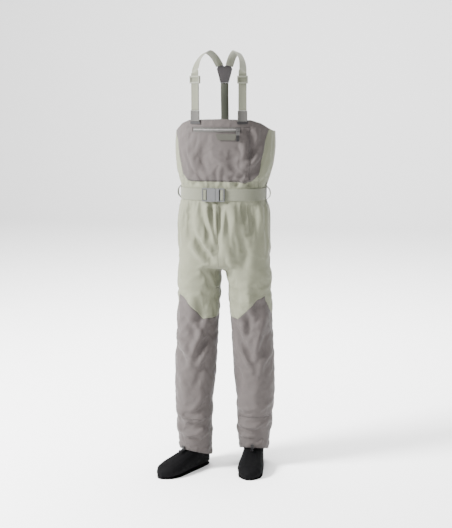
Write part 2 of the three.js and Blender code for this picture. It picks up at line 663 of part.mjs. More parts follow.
// A frame beside a buckle half: an end rail, two side rails and the bar that the webbing is folded round.
function buckleFrame(outerEnd, innerEnd) {
  const low = beltLevel - buckle.height / 2;
  const high = beltLevel + buckle.height / 2;
  const x0 = Math.min(outerEnd, innerEnd);
  const x1 = Math.max(outerEnd, innerEnd);
  const centre = (x0 + x1) / 2;
  const frame = solidOf(roundedPlate(x0, x1, low, high, 3, buckleBack - 7.8, buckleBack))
    .subtract(blockSolid(x0 + 3, x1 - 3, -FAR, 0, low + 4.4, high - 4.4));
  return frame.add(blockSolid(centre - 3, centre + 3, buckleBack - 5, buckleBack - 2.8, low + 4, high - 4));
}

function buckleParts() {
  const low = beltLevel - buckle.height / 2;
  const high = beltLevel + buckle.height / 2;
  const bodyLeft = buckle.left + 20.4;
  const mouth = buckle.split;

  // Socket: front and back plates joined at the closed end, with the frame beyond it.
  const socketBody = solidOf(roundedPlate(bodyLeft, mouth, low, high, 4, buckleFront, buckleBack))
    .subtract(blockSolid(bodyLeft + 4, mouth + 1, buckleFront + 2.2, buckleBack - 2.2, low - 1, high + 1));
  addSolid("buckle_socket", socketBody.add(buckleFrame(buckle.left, bodyLeft + 1)), buckleGrey);

  // Plug: a base block with a guide tongue, and the frame beyond it.
  const y0 = buckleFront + 2.8;
  const y1 = buckleBack - 2.8;
  const baseLeft = mouth + gap;
  const baseRight = buckle.right - 20.4;
  const base = solidOf(roundedPlate(baseLeft, baseRight, low + 1, high - 1, 2, buckleFront + 1, buckleBack))
    .subtract(blockSolid(baseLeft - 1, baseLeft + 3.4, y0 - 0.3, y1 + 0.3, beltLevel + 9, beltLevel + 21))
    .subtract(blockSolid(baseLeft - 1, baseLeft + 3.4, y0 - 0.3, y1 + 0.3, beltLevel - 21, beltLevel - 9));
  const tongue = blockSolid(bodyLeft + 8, baseLeft + 1, y0, y1, beltLevel - 4, beltLevel + 4);
  addSolid("buckle_plug", base.add(tongue).add(buckleFrame(buckle.right, baseRight - 1)), buckleGrey);

  // Spring arms above and below the tongue; each ends in a thumb pad that shows at the socket's edge.
  for (const [name, m] of [["latch_arm_upper", 1], ["latch_arm_lower", -1]]) {
    const outline = [[baseLeft + 2.4, 12], [baseLeft + 2.4, 17.5], [mouth - 7, 18.5], [mouth - 9.5, 23.5],
      [mouth - 19, 22], [mouth - 23, 16], [mouth - 19, 13.5]];
    const points = outline.map(([x, z]) => [x, beltLevel + m * z]);
    add(name, prismXZ(m > 0 ? points.reverse() : points, y0, y1), buckleGrey);
  }
}

// A belt loop: a short webbing strip sewn above and below the belt that stands clear of it between.
function beltLoop(name, angle, bulge, width) {
  const ring = torsoRing(beltLevel, 0);
  const at = ring[Math.round((angle / 360) * TORSO_SIDES) % TORSO_SIDES];
  const out = new THREE.Vector3(Math.cos(THREE.MathUtils.degToRad(angle)), Math.sin(THREE.MathUtils.degToRad(angle)), 0);
  const clear = beltOut + webbing / 2 + 1;
  const reach = beltWidth / 2;
  const shellOut = (dz) => {
    const level = torsoRing(beltLevel + dz, 0)[Math.round((angle / 360) * TORSO_SIDES) % TORSO_SIDES];
    return level.clone().sub(at).dot(out) + webbing / 2 + 6 * gap;
  };
  const profile = [
    [reach + 16, shellOut(reach + 16)], [reach + 5, Math.max(shellOut(reach + 5), clear)],
    [reach - 8, clear + 0.75 * bulge], [0, clear + bulge], [8 - reach, clear + 0.8 * bulge],
    [-reach - 5, Math.max(shellOut(-reach - 5), clear)], [-reach - 16, shellOut(-reach - 16)],
  ];
  const points = profile.map(([dz, d]) => [at.x + out.x * d, at.y + out.y * d, beltLevel + dz]);
  add(name, strap(points, profile.map(() => [out.x, out.y, 0]), width, webbing, 14), sageWebbing);
}

// ---------------------------------------------------------------- lower legs

function footRing(u, halfWidth, height, inset) {
  const floor = soleThickness + gap + inset;
  const centre = floor + 0.42 * (height - floor);
  return Array.from({ length: FOOT_SIDES }, (_, i) => {
    const angle = (i / FOOT_SIDES) * 2 * Math.PI;
    const c = Math.cos(angle);
    const s = Math.sin(angle);
    const x = Math.sign(c) * Math.abs(c) ** 0.85 * halfWidth;
    const z = centre + Math.sign(s) * Math.abs(s) ** 0.9 * (s > 0 ? height - centre : 1.2 * (centre - floor));
    return new THREE.Vector3(x, -u, Math.max(z, floor));
  });
}

// Share of the foot's length from the heel, half width and height of the sock.
const footStations = [
  [0, 13, 38], [0.03, 25, 62], [0.09, 33, 84], [0.21, 38, 96], [0.36, 42, 91], [0.49, 45, 76], [0.625, 49, 65],
  [0.76, 51, 56], [0.88, 45, 47], [0.95, 30, 37], [1, 12, 25],
].map(([share, w, h]) => [share * foot.length, w, h]);

function sockSolid(inset, top, turn) {
  const length = footStations.at(-1)[0];
  const rings = footStations.map(([u, w, h]) => {
    const shift = inset * (1 - (2 * u) / length); // draws both ends in by the wall
    return footRing(u + shift, w - inset, h - inset, inset);
  });
  const neck = levels(soleThickness + 30, top, 5).map((z) => {
    const share = (z - soleThickness - 30) / (sockTop - soleThickness - 30);
    const reach = [ankle.half, ankle.half, ankle.front, ankle.back].map((v) => v * (0.74 + 0.26 * share));
    return bodyRing(z, [0, -foot.heelBehindAnkle], reach, 2.15, turn, inset, LEG_SIDES);
  });
  return solidOf(skin(rings)).add(solidOf(skin(neck)));
}

function soleShape() {
  const inset = 3;
  const outline = footStations.map(([u, w]) => [w - inset, u]);
  const side = (m) => outline.map(([w, u]) => new THREE.Vector2(m * w, -u));
  const shape = new THREE.Shape([...side(1), ...side(-1).reverse()].reverse());
  return new THREE.ExtrudeGeometry(shape, { depth: soleThickness, bevelEnabled: false });
}

// A ring sleeve round one leg: rows of [height, half width, front, back, foot's share], with a wall.
// The foot's share turns a ring with the foot and lifts its front, so a hem clears the instep.
function legSleeve(side, rows, wall) {
  const turn = THREE.MathUtils.degToRad(stance[side].toeOut);
  const toes = Y.clone().negate().applyAxisAngle(Z, turn);
  const ring = ([z, w, front, back, share = 0], inset, over) => {
    const centre = legAt[side](Math.max(z, sockTop)).slice(0, 2);
    const middle = new THREE.Vector3(centre[0], centre[1], z);
    return bodyRing(z + over, centre, [w, w, front, back], 2.15, share * turn, inset, LEG_SIDES).map((p) => {
      p.z += share * guard.slope * p.clone().sub(middle).dot(toes);
      return p;
    });
  };
  const ends = (i) => (i === 0 ? -5 : i === rows.length - 1 ? 5 : 0);
  const outside = rows.map((row) => ring(row, 0, 0));
  const inside = rows.map((row, i) => ring(row, wall, ends(i)));
  return solidOf(skin(outside)).subtract(solidOf(skin(inside)));
}

function lowerLegParts(side) {
  const s = stance[side];
  const legReach = (z) => legAt[side](z).slice(2);

  // Gravel guard: an outer cuff, sewn to the shin at its top and gathered at its hem.
  const seat = legReach(guard.top);
  const guardRows = [
    [guard.hem, guard.hemHalf, guard.hemFront, guard.hemBack, 1],
    [guard.hem + 22, guard.hemHalf + 4, guard.hemFront + 3, guard.hemBack + 2, 0.85],
    [guard.hem + 75, 66, 71, 72, 0.4],
    [guard.top - 30, 68, 72, 72, 0.1],
    [guard.top, Math.max(guard.topHalf, seat[0] + guard.wall + 1), seat[2] + guard.wall + 1, seat[3] + guard.wall + 1],
  ];
  addSolid(`${side}_gravel_guard`, legSleeve(side, guardRows, guard.wall), taupe);

  // Elastic in the hem, and the tape over the seam of sock and leg.
  const inner = guard.wall + gap;
  const elasticRows = [
    [guard.hem + 3, guard.hemHalf - inner, guard.hemFront - inner, guard.hemBack - inner, 1],
    [guard.hem + 10, guard.hemHalf + 1 - inner, guard.hemFront + 0.7 - inner, guard.hemBack + 0.5 - inner, 0.95],
  ];
  addSolid(`${side}_hem_elastic`, legSleeve(side, elasticRows, 1.6), black);
  const tapeHalf = 12;
  const above = legReach(sockTop + 22);
  const at = legReach(sockTop);
  const tapeReach = [[sockTop - tapeHalf, at], [sockTop, at], [sockTop + tapeHalf, above]];
  const tapeRows = tapeReach.map(([z, [w, , front, back]]) => [z, ...[w, front, back].map((v) => v + gap + 1)]);
  addSolid(`${side}_sock_seam_tape`, legSleeve(side, tapeRows, 1), charcoal);

  // Sock and sole, turned out about the heel.
  const turn = THREE.MathUtils.degToRad(s.toeOut);
  const footGroup = new THREE.Group();
  footGroup.rotation.z = turn;
  const heel = new THREE.Vector3(0, foot.heelBehindAnkle, 0).applyAxisAngle(Z, turn);
  footGroup.position.set(s.ankle[0] + heel.x, s.ankle[1] + heel.y, 0);
  garment.add(footGroup);
  const sock = sockSolid(0, sockTop, -turn).subtract(sockSolid(neoprene, sockTop + 10, -turn));
  addSolid(`${side}_sock`, sock, black, footGroup);
  add(`${side}_sole`, soleShape(), charcoal, footGroup);

  // Lace hook: a webbing tab sewn over the hem's front, and the hook that hangs from it.
  const hookFace = -guard.hemFront - 2 * gap;
  const hemFront = guard.hem + guard.slope * guard.hemFront;
  const hookGroup = new THREE.Group();
  hookGroup.rotation.z = turn;
  hookGroup.position.set(s.ankle[0], s.ankle[1], 0);
  garment.add(hookGroup);
  const tabTop = hemFront + 15;
  add(
    `${side}_hook_tab`,
    prismYZ(
      [[hookFace - 1, hemFront - 2], [hookFace - 1, hemFront], [hookFace - 3.4, tabTop], [hookFace - 5.4, tabTop],
        [hookFace - 5.4, hemFront - 2]].reverse(),
      -6, 6,
    ),
    greyWebbing,
    hookGroup,
  );
  // The hook's section as it would hang, about its hinge, then laid forward over the instep.
  const hanging = [[-0.9, 0], [0.9, 0], [0.9, -17], [-0.9, -19], [-5.5, -19], [-5.5, -12], [-3.7, -12], [-3.7, -17.2],
    [-1.4, -17.2], [-0.9, -16.6]];
  const lay = THREE.MathUtils.degToRad(-75);
  const hook = prismYZ([...hanging].reverse(), -4.5, 4.5)
    .rotateX(lay)
    .translate(0, hookFace - 6.6, hemFront);
  add(`${side}_lace_hook`, hook, metal, hookGroup);
}

// ---------------------------------------------------------------- seam tape inside the shell

function seamTapes() {
  const strip = blockSolid(-11, 11, 0, FAR, crotch + 60, backTop - 8);
  addSolid("back_seam_tape", torsoLayer(fabric + gap, fabric + gap + 1, strip), tapeWhite);
}

upperPanels();
lowerPanels();
pocketParts();
zipParts();
dockPatch();
frontStrapParts("right", -1);
frontStrapParts("left", 1);
yokeParts();
beltParts();
buckleParts();
beltLoop("right_belt_loop", 180, loopBulge, loopWidth);
beltLoop("left_belt_loop", 0, loopBulge, loopWidth);
beltLoop("back_belt_loop", 90, 1.5, loopWidth + 12);
lowerLegParts("right");
lowerLegParts("left");
seamTapes();

// The origin is on the floor, under the middle of the outer box.
const extent = new THREE.Box3().setFromObject(garment, true);
const middle = extent.getCenter(new THREE.Vector3());
garment.position.set(-middle.x, -middle.y, -extent.min.z);

export default garment;
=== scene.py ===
# %% [markdown]
# # Chest waders
# A pair of stocking-foot chest waders stands as if somebody wore it: a bib with a zipped pocket,
# suspenders, a belt, two legs with darker shins, and neoprene socks. The hard parts come ready in the
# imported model, and this lesson makes the cloth, the webbing, the thread and the finishes around them.
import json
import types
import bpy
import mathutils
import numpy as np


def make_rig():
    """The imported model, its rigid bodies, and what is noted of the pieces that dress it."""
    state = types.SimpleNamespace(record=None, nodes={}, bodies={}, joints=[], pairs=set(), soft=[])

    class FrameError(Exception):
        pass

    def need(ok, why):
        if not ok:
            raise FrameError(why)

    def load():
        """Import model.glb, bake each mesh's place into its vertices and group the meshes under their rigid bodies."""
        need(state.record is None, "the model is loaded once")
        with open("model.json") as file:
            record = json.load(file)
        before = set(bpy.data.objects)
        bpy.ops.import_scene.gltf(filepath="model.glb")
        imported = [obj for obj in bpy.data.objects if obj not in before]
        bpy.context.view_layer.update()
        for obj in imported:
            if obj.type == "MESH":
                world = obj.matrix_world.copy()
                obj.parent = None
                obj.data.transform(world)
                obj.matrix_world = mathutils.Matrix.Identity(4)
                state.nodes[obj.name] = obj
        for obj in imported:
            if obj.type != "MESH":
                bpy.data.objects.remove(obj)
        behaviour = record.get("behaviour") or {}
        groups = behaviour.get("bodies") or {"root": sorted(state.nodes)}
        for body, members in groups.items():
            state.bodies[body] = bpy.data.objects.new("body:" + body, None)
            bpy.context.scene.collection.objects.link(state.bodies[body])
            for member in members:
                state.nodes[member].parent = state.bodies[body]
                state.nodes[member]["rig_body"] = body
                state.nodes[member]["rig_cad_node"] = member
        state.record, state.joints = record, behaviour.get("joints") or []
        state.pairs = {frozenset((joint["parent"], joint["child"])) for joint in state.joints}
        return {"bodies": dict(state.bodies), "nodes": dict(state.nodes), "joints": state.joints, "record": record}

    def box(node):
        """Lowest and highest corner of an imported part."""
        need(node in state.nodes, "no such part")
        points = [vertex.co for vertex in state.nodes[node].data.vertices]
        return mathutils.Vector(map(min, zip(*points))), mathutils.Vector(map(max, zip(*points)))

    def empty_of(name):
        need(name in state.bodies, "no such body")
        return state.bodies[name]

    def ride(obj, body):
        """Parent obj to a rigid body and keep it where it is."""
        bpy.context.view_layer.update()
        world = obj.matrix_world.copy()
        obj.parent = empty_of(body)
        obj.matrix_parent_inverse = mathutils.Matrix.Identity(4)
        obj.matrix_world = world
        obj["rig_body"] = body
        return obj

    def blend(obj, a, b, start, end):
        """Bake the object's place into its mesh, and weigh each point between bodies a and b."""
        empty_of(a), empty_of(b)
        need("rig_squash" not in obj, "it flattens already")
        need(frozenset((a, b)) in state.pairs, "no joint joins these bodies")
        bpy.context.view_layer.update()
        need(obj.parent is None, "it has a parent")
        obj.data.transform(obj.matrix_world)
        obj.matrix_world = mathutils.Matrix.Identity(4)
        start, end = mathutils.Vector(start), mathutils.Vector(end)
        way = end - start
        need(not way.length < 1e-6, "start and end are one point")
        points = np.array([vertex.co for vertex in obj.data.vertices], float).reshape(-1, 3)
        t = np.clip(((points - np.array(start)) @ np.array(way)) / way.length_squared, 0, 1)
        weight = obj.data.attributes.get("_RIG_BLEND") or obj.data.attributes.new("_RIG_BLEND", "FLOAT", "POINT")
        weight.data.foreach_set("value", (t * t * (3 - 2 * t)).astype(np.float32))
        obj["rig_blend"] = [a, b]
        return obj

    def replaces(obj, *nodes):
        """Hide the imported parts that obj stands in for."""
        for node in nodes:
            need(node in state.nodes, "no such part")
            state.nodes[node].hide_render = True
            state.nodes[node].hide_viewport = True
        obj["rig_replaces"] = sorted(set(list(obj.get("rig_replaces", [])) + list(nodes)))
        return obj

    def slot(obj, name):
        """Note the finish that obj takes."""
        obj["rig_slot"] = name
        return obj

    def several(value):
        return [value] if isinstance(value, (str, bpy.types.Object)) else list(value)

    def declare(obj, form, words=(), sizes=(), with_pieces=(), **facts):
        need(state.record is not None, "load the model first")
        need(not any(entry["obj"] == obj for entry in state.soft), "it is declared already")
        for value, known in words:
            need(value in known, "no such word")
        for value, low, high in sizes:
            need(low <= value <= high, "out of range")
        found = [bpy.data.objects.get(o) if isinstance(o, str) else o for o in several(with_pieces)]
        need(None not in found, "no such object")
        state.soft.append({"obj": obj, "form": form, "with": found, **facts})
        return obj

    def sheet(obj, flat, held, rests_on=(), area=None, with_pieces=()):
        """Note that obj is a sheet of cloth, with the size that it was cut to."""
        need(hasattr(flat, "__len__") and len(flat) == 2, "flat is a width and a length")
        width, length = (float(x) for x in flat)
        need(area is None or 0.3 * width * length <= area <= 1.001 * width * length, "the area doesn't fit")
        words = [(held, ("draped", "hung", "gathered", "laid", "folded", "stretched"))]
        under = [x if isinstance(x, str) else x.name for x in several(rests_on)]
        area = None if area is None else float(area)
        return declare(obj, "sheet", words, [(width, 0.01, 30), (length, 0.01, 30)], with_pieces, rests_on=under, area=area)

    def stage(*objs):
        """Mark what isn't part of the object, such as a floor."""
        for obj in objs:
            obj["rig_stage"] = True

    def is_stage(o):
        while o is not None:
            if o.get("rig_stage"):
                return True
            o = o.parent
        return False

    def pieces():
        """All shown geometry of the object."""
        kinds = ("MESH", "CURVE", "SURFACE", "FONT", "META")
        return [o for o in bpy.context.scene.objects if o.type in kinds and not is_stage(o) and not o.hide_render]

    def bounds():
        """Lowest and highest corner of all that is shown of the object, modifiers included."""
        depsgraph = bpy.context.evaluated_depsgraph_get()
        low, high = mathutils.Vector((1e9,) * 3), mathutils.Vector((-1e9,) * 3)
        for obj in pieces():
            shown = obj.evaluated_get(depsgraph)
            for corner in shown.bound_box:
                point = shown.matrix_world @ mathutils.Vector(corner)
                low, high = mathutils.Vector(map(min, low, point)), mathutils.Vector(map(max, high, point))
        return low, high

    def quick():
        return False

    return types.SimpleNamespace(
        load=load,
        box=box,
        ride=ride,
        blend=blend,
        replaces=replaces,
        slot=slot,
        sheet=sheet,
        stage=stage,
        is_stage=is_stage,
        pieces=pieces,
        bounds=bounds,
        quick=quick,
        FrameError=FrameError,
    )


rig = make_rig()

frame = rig.load()
cad_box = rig.bounds()

import json
import math

import bmesh
import bpy
import numpy as np
from mathutils import Vector, kdtree

scene = bpy.context.scene
for thing in bpy.context.selected_objects:
    thing.select_set(False)
print(len(frame["nodes"]), "ready-made pieces on", len(frame["bodies"]), "bodies")

# %% [markdown]
# ## Floor, light and camera
# A garment like this is shown on a pale sweep of paper with a soft lamp high on the left, a weak fill on
# the right, one from above and one for the wall, and a long lens at chest height that looks down a
# little. The sweep is a plane whose back edge is pulled up and rounded, so that no horizon shows.

# %% The paper sweep


def deselect():
    for item in list(bpy.context.selected_objects):
        item.select_set(False)


def only(item):
    deselect()
    item.select_set(True)
    bpy.context.view_layer.objects.active = item


def plain(name, colour, roughness):
    made = bpy.data.materials.new(name)
    made.use_nodes = True
    shader = made.node_tree.nodes["Principled BSDF"]
    shader.inputs["Base Color"].default_value = (*colour, 1)
    shader.inputs["Roughness"].default_value = roughness
    return made


deselect()
bpy.ops.mesh.primitive_plane_add(size=14, location=(0, 0, 0))
sweep = bpy.context.object
sweep.name = "paper_sweep"
bpy.ops.object.mode_set(mode="EDIT")
bpy.ops.mesh.select_all(action="DESELECT")
shape = bmesh.from_edit_mesh(sweep.data)
for edge in shape.edges:
    edge.select_set(all(v.co.y > 6.9 for v in edge.verts))
shape.select_flush_mode()
bmesh.update_edit_mesh(sweep.data)
bpy.ops.mesh.extrude_region_move(TRANSFORM_OT_translate={"value": (0, 0, 7)})
shape = bmesh.from_edit_mesh(sweep.data)
for edge in shape.edges:
    edge.select_set(all(v.co.y > 6.9 and v.co.z < 0.1 for v in edge.verts))
bmesh.update_edit_mesh(sweep.data)
bpy.ops.mesh.bevel(offset=3, segments=16, affect="EDGES")
bpy.ops.object.mode_set(mode="OBJECT")
bpy.ops.object.shade_smooth()
sweep.data.materials.append(plain("paper", (0.97, 0.97, 0.97), 0.9))
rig.stage(sweep)

# %% [markdown]
# Lamps are set by where they stand and what they aim at. The key lamp on the left is the smallest of the
# four, so it gives the folds an edge, and the others only lift the shadows and the paper. The camera's
# place is written as plain numbers.

# %% Lamps and camera


def lamp(name, place, aim, size, power, colour=(1, 1, 1)):
    data = bpy.data.lights.new(name, "AREA")
    data.shape = "DISK"
    data.size = size
    data.energy = power
    data.color = colour
    item = bpy.data.objects.new(name, data)
    scene.collection.objects.link(item)
    item.location = place
    item.rotation_euler = (Vector(aim) - Vector(place)).to_track_quat("-Z", "Y").to_euler()
    return item


lamp("key_lamp", (-3.0, -1.9, 2.9), (0, 0, 0.9), 1.3, 820)
lamp("fill_lamp", (3.4, -3.2, 1.8), (0, 0, 0.8), 2.5, 10)
lamp("top_lamp", (0.2, 1.0, 4.4), (0, 0, 0.6), 3.0, 330)
lamp("wall_lamp", (0.0, 1.3, 3.4), (0, 5, 1.2), 2.5, 260)
world = bpy.data.worlds.new("studio") if scene.world is None else scene.world
scene.world = world
world.use_nodes = True
world.node_tree.nodes["Background"].inputs["Color"].default_value = (1, 1, 1, 1)
world.node_tree.nodes["Background"].inputs["Strength"].default_value = 1.15

camera_data = bpy.data.cameras.new("camera")
camera_data.lens = 74.11
camera_data.sensor_width = 36
camera = bpy.data.objects.new("camera", camera_data)
scene.collection.objects.link(camera)
camera.location = (0.8808, -3.9849, 1.5)
camera.rotation_euler = (math.radians(80.4), 0, math.radians(12))
scene.camera = camera

# %% [markdown]
# ## The form inside the cloth
# The shell follows a body: a torso that is a rounded box in section, and two legs. Each is a stack of
# level rings, and each ring is a superellipse with its own reach to the right, left, front and back. A
# smooth curve through a short table gives the ring at any height. The same table shapes the hard parts,
# so belt, zip and straps meet the cloth where they should. Sizes in the tables are millimetres, as a
# pattern cutter writes them.

# %% A smooth table


def smooth_table(rows):
    heights = [row[0] for row in rows]
    values = [np.array(row[1:], float) for row in rows]

    def at(z):
        i = int(np.clip(np.searchsorted(heights, z) - 1, 0, len(rows) - 2))
        t0, t1 = heights[i], heights[i + 1]
        span = t1 - t0
        p = min(max((z - t0) / span, 0), 1)
        slope0 = slope1 = values[i + 1] - values[i]
        if i > 0:
            slope0 = (values[i + 1] - values[i - 1]) / (t1 - heights[i - 1]) * span
        if i + 2 < len(rows):
            slope1 = (values[i + 2] - values[i]) / (heights[i + 2] - t0) * span
        return (
            values[i] * (2 * p**3 - 3 * p**2 + 1) + slope0 * (p**3 - 2 * p**2 + p)
            + values[i + 1] * (3 * p**2 - 2 * p**3) + slope1 * (p**3 - p**2)
        )

    return at


# %% [markdown]
# The torso leans and narrows at the waist, and each leg stands in its own direction, so each has a table
# of its own, and a leg's rings also carry the place of their middle.

# %% Torso and legs, as tables

CROTCH, BELT, BIB_TOP, KNEE = 800, 1080, 1360, 510
CHEST_TURN = math.radians(6)
torso_at = smooth_table([
    (788, 150, 150, 58, 62, 2.2, -8, 0), (820, 174, 176, 98, 104, 2.4, -8, 0),
    (940, 177, 178, 118, 120, 2.4, -8, 0), (1020, 172, 172, 113, 110, 2.5, -8, 0),
    (1054, 161, 161, 109, 102, 2.7, -8, 0), (1106, 161, 161, 109, 102, 2.7, -8, 0),
    (1160, 176, 176, 117, 104, 2.6, -5, math.radians(2.1)),
    (1240, 188, 188, 122, 102, 2.4, -2, math.radians(4.8)),
    (1312, 187, 189, 124, 100, 2.2, -2, CHEST_TURN), (1370, 183, 185, 122, 96, 2.2, -2, CHEST_TURN),
])
STANCE = {
    "right": {"side": -1, "hip": (-99, 0), "knee": (-109, -20), "calf": (-119, -37), "ankle": (-112, -55),
              "toe_out": math.radians(-30)},
    "left": {"side": 1, "hip": (86, 0), "knee": (104, 9), "calf": (115, 17), "ankle": (108, 23),
             "toe_out": math.radians(5)},
}
HEM, HEM_SLOPE = 62, 0.34


def leg_table(side):
    s = STANCE[side]
    (ax, ay), (cx, cy), (kx, ky), (hx, hy) = s["ankle"], s["calf"], s["knee"], s["hip"]
    return smooth_table([
        (HEM - 8, ax, ay, 56, 62, 76, 1), (HEM, ax, ay, 57, 63, 76, 1), (HEM + 22, ax, ay, 61, 66, 78, 0.85),
        (HEM + 75, ax, ay, 66, 71, 74, 0.4), (175, (3 * ax + cx) / 4, (3 * ay + cy) / 4, 68, 72, 73, 0.1),
        (210, (ax + cx) / 2, (ay + cy) / 2, 69, 73, 74, 0), (270, cx, cy, 72, 76, 76, 0),
        (390, (cx + kx) / 2, (cy + ky) / 2, 80, 82, 82, 0), (510, kx, ky, 80, 86, 83, 0),
        (684, (kx + hx) / 2, 0.4 * ky, 84, 92, 92, 0), (800, hx + 4 * s["side"], 0.1 * ky, 86, 98, 98, 0),
        (890, hx, hy, 86, 96, 98, 0),
    ])


leg_at = {side: leg_table(side) for side in STANCE}

# The belt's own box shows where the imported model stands.
belt_low, belt_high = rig.box("belt_webbing")
SHIFT = ((belt_low + belt_high) / 2 * 1000 - Vector((-8, -3.5, 0))) / 1000
SHIFT.z = 0
print("the garment's own middle is at", [round(v, 4) for v in SHIFT])


def superellipse(centre, reach, squareness, turn, sides):
    right, left, front, back = reach
    angle = np.arange(sides) / sides * 2 * np.pi
    c, s = np.cos(angle), np.sin(angle)
    x = np.sign(c) * np.abs(c) ** (2 / squareness) * np.where(c > 0, left, right)
    y = np.sign(s) * np.abs(s) ** (2 / squareness) * np.where(s > 0, back, front)
    return np.stack([centre[0] + x * math.cos(turn) - y * math.sin(turn),
                     centre[1] + x * math.sin(turn) + y * math.cos(turn)], 1)


def torso_ring(z, sides=96, inset=0):
    right, left, front, back, squareness, across, turn = torso_at(z)
    reach = [v - inset for v in (right, left, front, back)]
    flat = superellipse((across, 0), reach, squareness, turn, sides)
    return np.column_stack([flat, np.full(sides, z)])


def leg_ring(side, z, sides=64):
    x, y, half, front, back, share = leg_at[side](z)
    turn = STANCE[side]["toe_out"]
    flat = superellipse((x, y), (half, half, front, back), 2.15, share * turn, sides)
    toes = np.array([math.sin(turn), -math.cos(turn)])
    return np.column_stack([flat, z + share * HEM_SLOPE * ((flat - (x, y)) @ toes)])


# %% [markdown]
# ## One skin from three tubes
# Torso and legs cross each other at the crotch. Sewing three tubes by hand leaves a hard crease there, so
# each tube is closed, the three are joined into one object, and a voxel remesh pours one even skin over
# them. Even quads are also what cloth simulation wants.

# %% The closed tubes


def new_object(name, points, faces):
    mesh = bpy.data.meshes.new(name)
    mesh.from_pydata([tuple(p) for p in points], [], [tuple(f) for f in faces])
    mesh.update()
    item = bpy.data.objects.new(name, mesh)
    scene.collection.objects.link(item)
    return item


def loft(name, rings, caps=True):
    n = len(rings[0])
    points = np.concatenate(rings) / 1000 + np.array(SHIFT)
    faces = [(i * n + j, i * n + (j + 1) % n, (i + 1) * n + (j + 1) % n, (i + 1) * n + j)
             for i in range(len(rings) - 1) for j in range(n)]
    if caps:
        faces += [tuple(range(n))[::-1], tuple(range((len(rings) - 1) * n, len(rings) * n))]
    return new_object(name, points, faces)


def apply_all(item):
    only(item)
    for modifier in list(item.modifiers):
        bpy.ops.object.modifier_apply(modifier=modifier.name)


VOXEL = 0.008
tubes = [loft("torso", [torso_ring(z) for z in np.linspace(788, 1370, 60)])]
for side in STANCE:
    tubes.append(loft(side + "_leg", [leg_ring(side, z) for z in np.linspace(HEM - 8, 890, 90)]))
deselect()
for tube in tubes:
    tube.select_set(True)
bpy.context.view_layer.objects.active = tubes[0]
bpy.ops.object.join()
shell = bpy.context.object
shell.name = "shell"
remesh = shell.modifiers.new("one skin", "REMESH")
remesh.mode = "VOXEL"
remesh.voxel_size = VOXEL
smooth = shell.modifiers.new("soften", "SMOOTH")
smooth.factor = 0.5
smooth.iterations = 3
apply_all(shell)
print("the skin has", len(shell.data.vertices), "points")


def coords(item):
    out = np.empty(len(item.data.vertices) * 3)
    item.data.vertices.foreach_get("co", out)
    return out.reshape(-1, 3)


def set_coords(item, points):
    item.data.vertices.foreach_set("co", np.asarray(points, float).ravel())
    item.data.update()


def own(points):
    """Points of the finished model, as millimetres in the garment's own tables."""
    return (np.asarray(points) - np.array(SHIFT)) * 1000


# %% [markdown]
# The tubes' flat ends are cut off before the cloth is hung: at each hem along the plane that rises over
# the instep, and at the rim of the bib along an outline that dips at the sides and the back.

# %% Open the hems and the rim


def split_faces(item, p, q, blade, near):
    """Cuts the faces near the line from p to q with a blade that lies along the given direction."""
    p, q, blade = Vector(p), Vector(q), Vector(blade)
    line = q - p
    normal = line.cross(blade).normalized()
    mm = 0.001
    shape = bmesh.new()
    shape.from_mesh(item.data)
    faces = []
    for face in shape.faces:
        c = face.calc_center_median()
        share = (c - p).dot(line) / line.length_squared
        if abs((c - p).dot(normal)) < 0.012 and -0.012 < share * line.length < line.length + 0.012 and near(c):
            faces.append(face)
    parts = faces + list({e for f in faces for e in f.edges}) + list({v for f in faces for v in f.verts})
    bmesh.ops.bisect_plane(shape, geom=parts, dist=0.4 * mm, plane_co=p, plane_no=normal)
    shape.to_mesh(item.data)
    shape.free()


def to_model(x, y, z, chest=False):
    """A point of the tables, or of the chest's own turned frame, in the finished model."""
    if chest:
        x, y = (x * math.cos(CHEST_TURN) - y * math.sin(CHEST_TURN) - 2,
                x * math.sin(CHEST_TURN) + y * math.cos(CHEST_TURN))
    return Vector((x, y, z)) / 1000 + SHIFT


def chest_frame(points):
    """Own millimetres, seen in the chest's turned frame."""
    x, y = points[..., 0] + 2, points[..., 1]
    c, s = math.cos(CHEST_TURN), math.sin(CHEST_TURN)
    return np.stack([x * c + y * s, -x * s + y * c, points[..., 2]], -1)


RIM_FRONT = [(-250, 1312), (-185, 1312), (-154, 1343), (-124, 1356), (-8, 1360), (104, 1356), (142, 1343),
             (187, 1312), (250, 1312)]
RIM_BACK = [(-250, 1312), (-150, 1312), (-110, 1298), (-49, 1298), (-37, 1314), (11, 1314), (23, 1298),
            (100, 1298), (150, 1312), (250, 1312)]


def is_front(c):
    return chest_frame(own(c))[1] <= 0


for line, front in ((RIM_FRONT, True), (RIM_BACK, False)):
    for (x0, z0), (x1, z1) in zip(line[:-1], line[1:]):
        split_faces(shell, to_model(x0, 0, z0, True), to_model(x1, 0, z1, True),
                    to_model(0, 1, 0, True) - to_model(0, 0, 0, True), lambda c, f=front: is_front(c) == f)


def face_centres(item):
    out = np.empty(len(item.data.polygons) * 3)
    item.data.polygons.foreach_get("center", out)
    return out.reshape(-1, 3)


def rim_height(points):
    """How high the rim stands over each point, in millimetres."""
    seen = chest_frame(own(points))
    front = np.interp(seen[:, 0], *zip(*RIM_FRONT))
    back = np.interp(seen[:, 0], *zip(*RIM_BACK))
    return np.where(seen[:, 1] <= 0, front, back)


def hem_rise(points):
    """How far each point stands above its leg's hem plane, in millimetres."""
    seen = own(points)
    best = np.full(len(seen), 1e9)
    for s in STANCE.values():
        toes = np.array([math.sin(s["toe_out"]), -math.cos(s["toe_out"])])
        rise = seen[:, 2] - HEM - HEM_SLOPE * ((seen[:, :2] - s["ankle"]) @ toes)
        best = np.where(np.sign(seen[:, 0] + 8) == s["side"], rise, best)
    return best


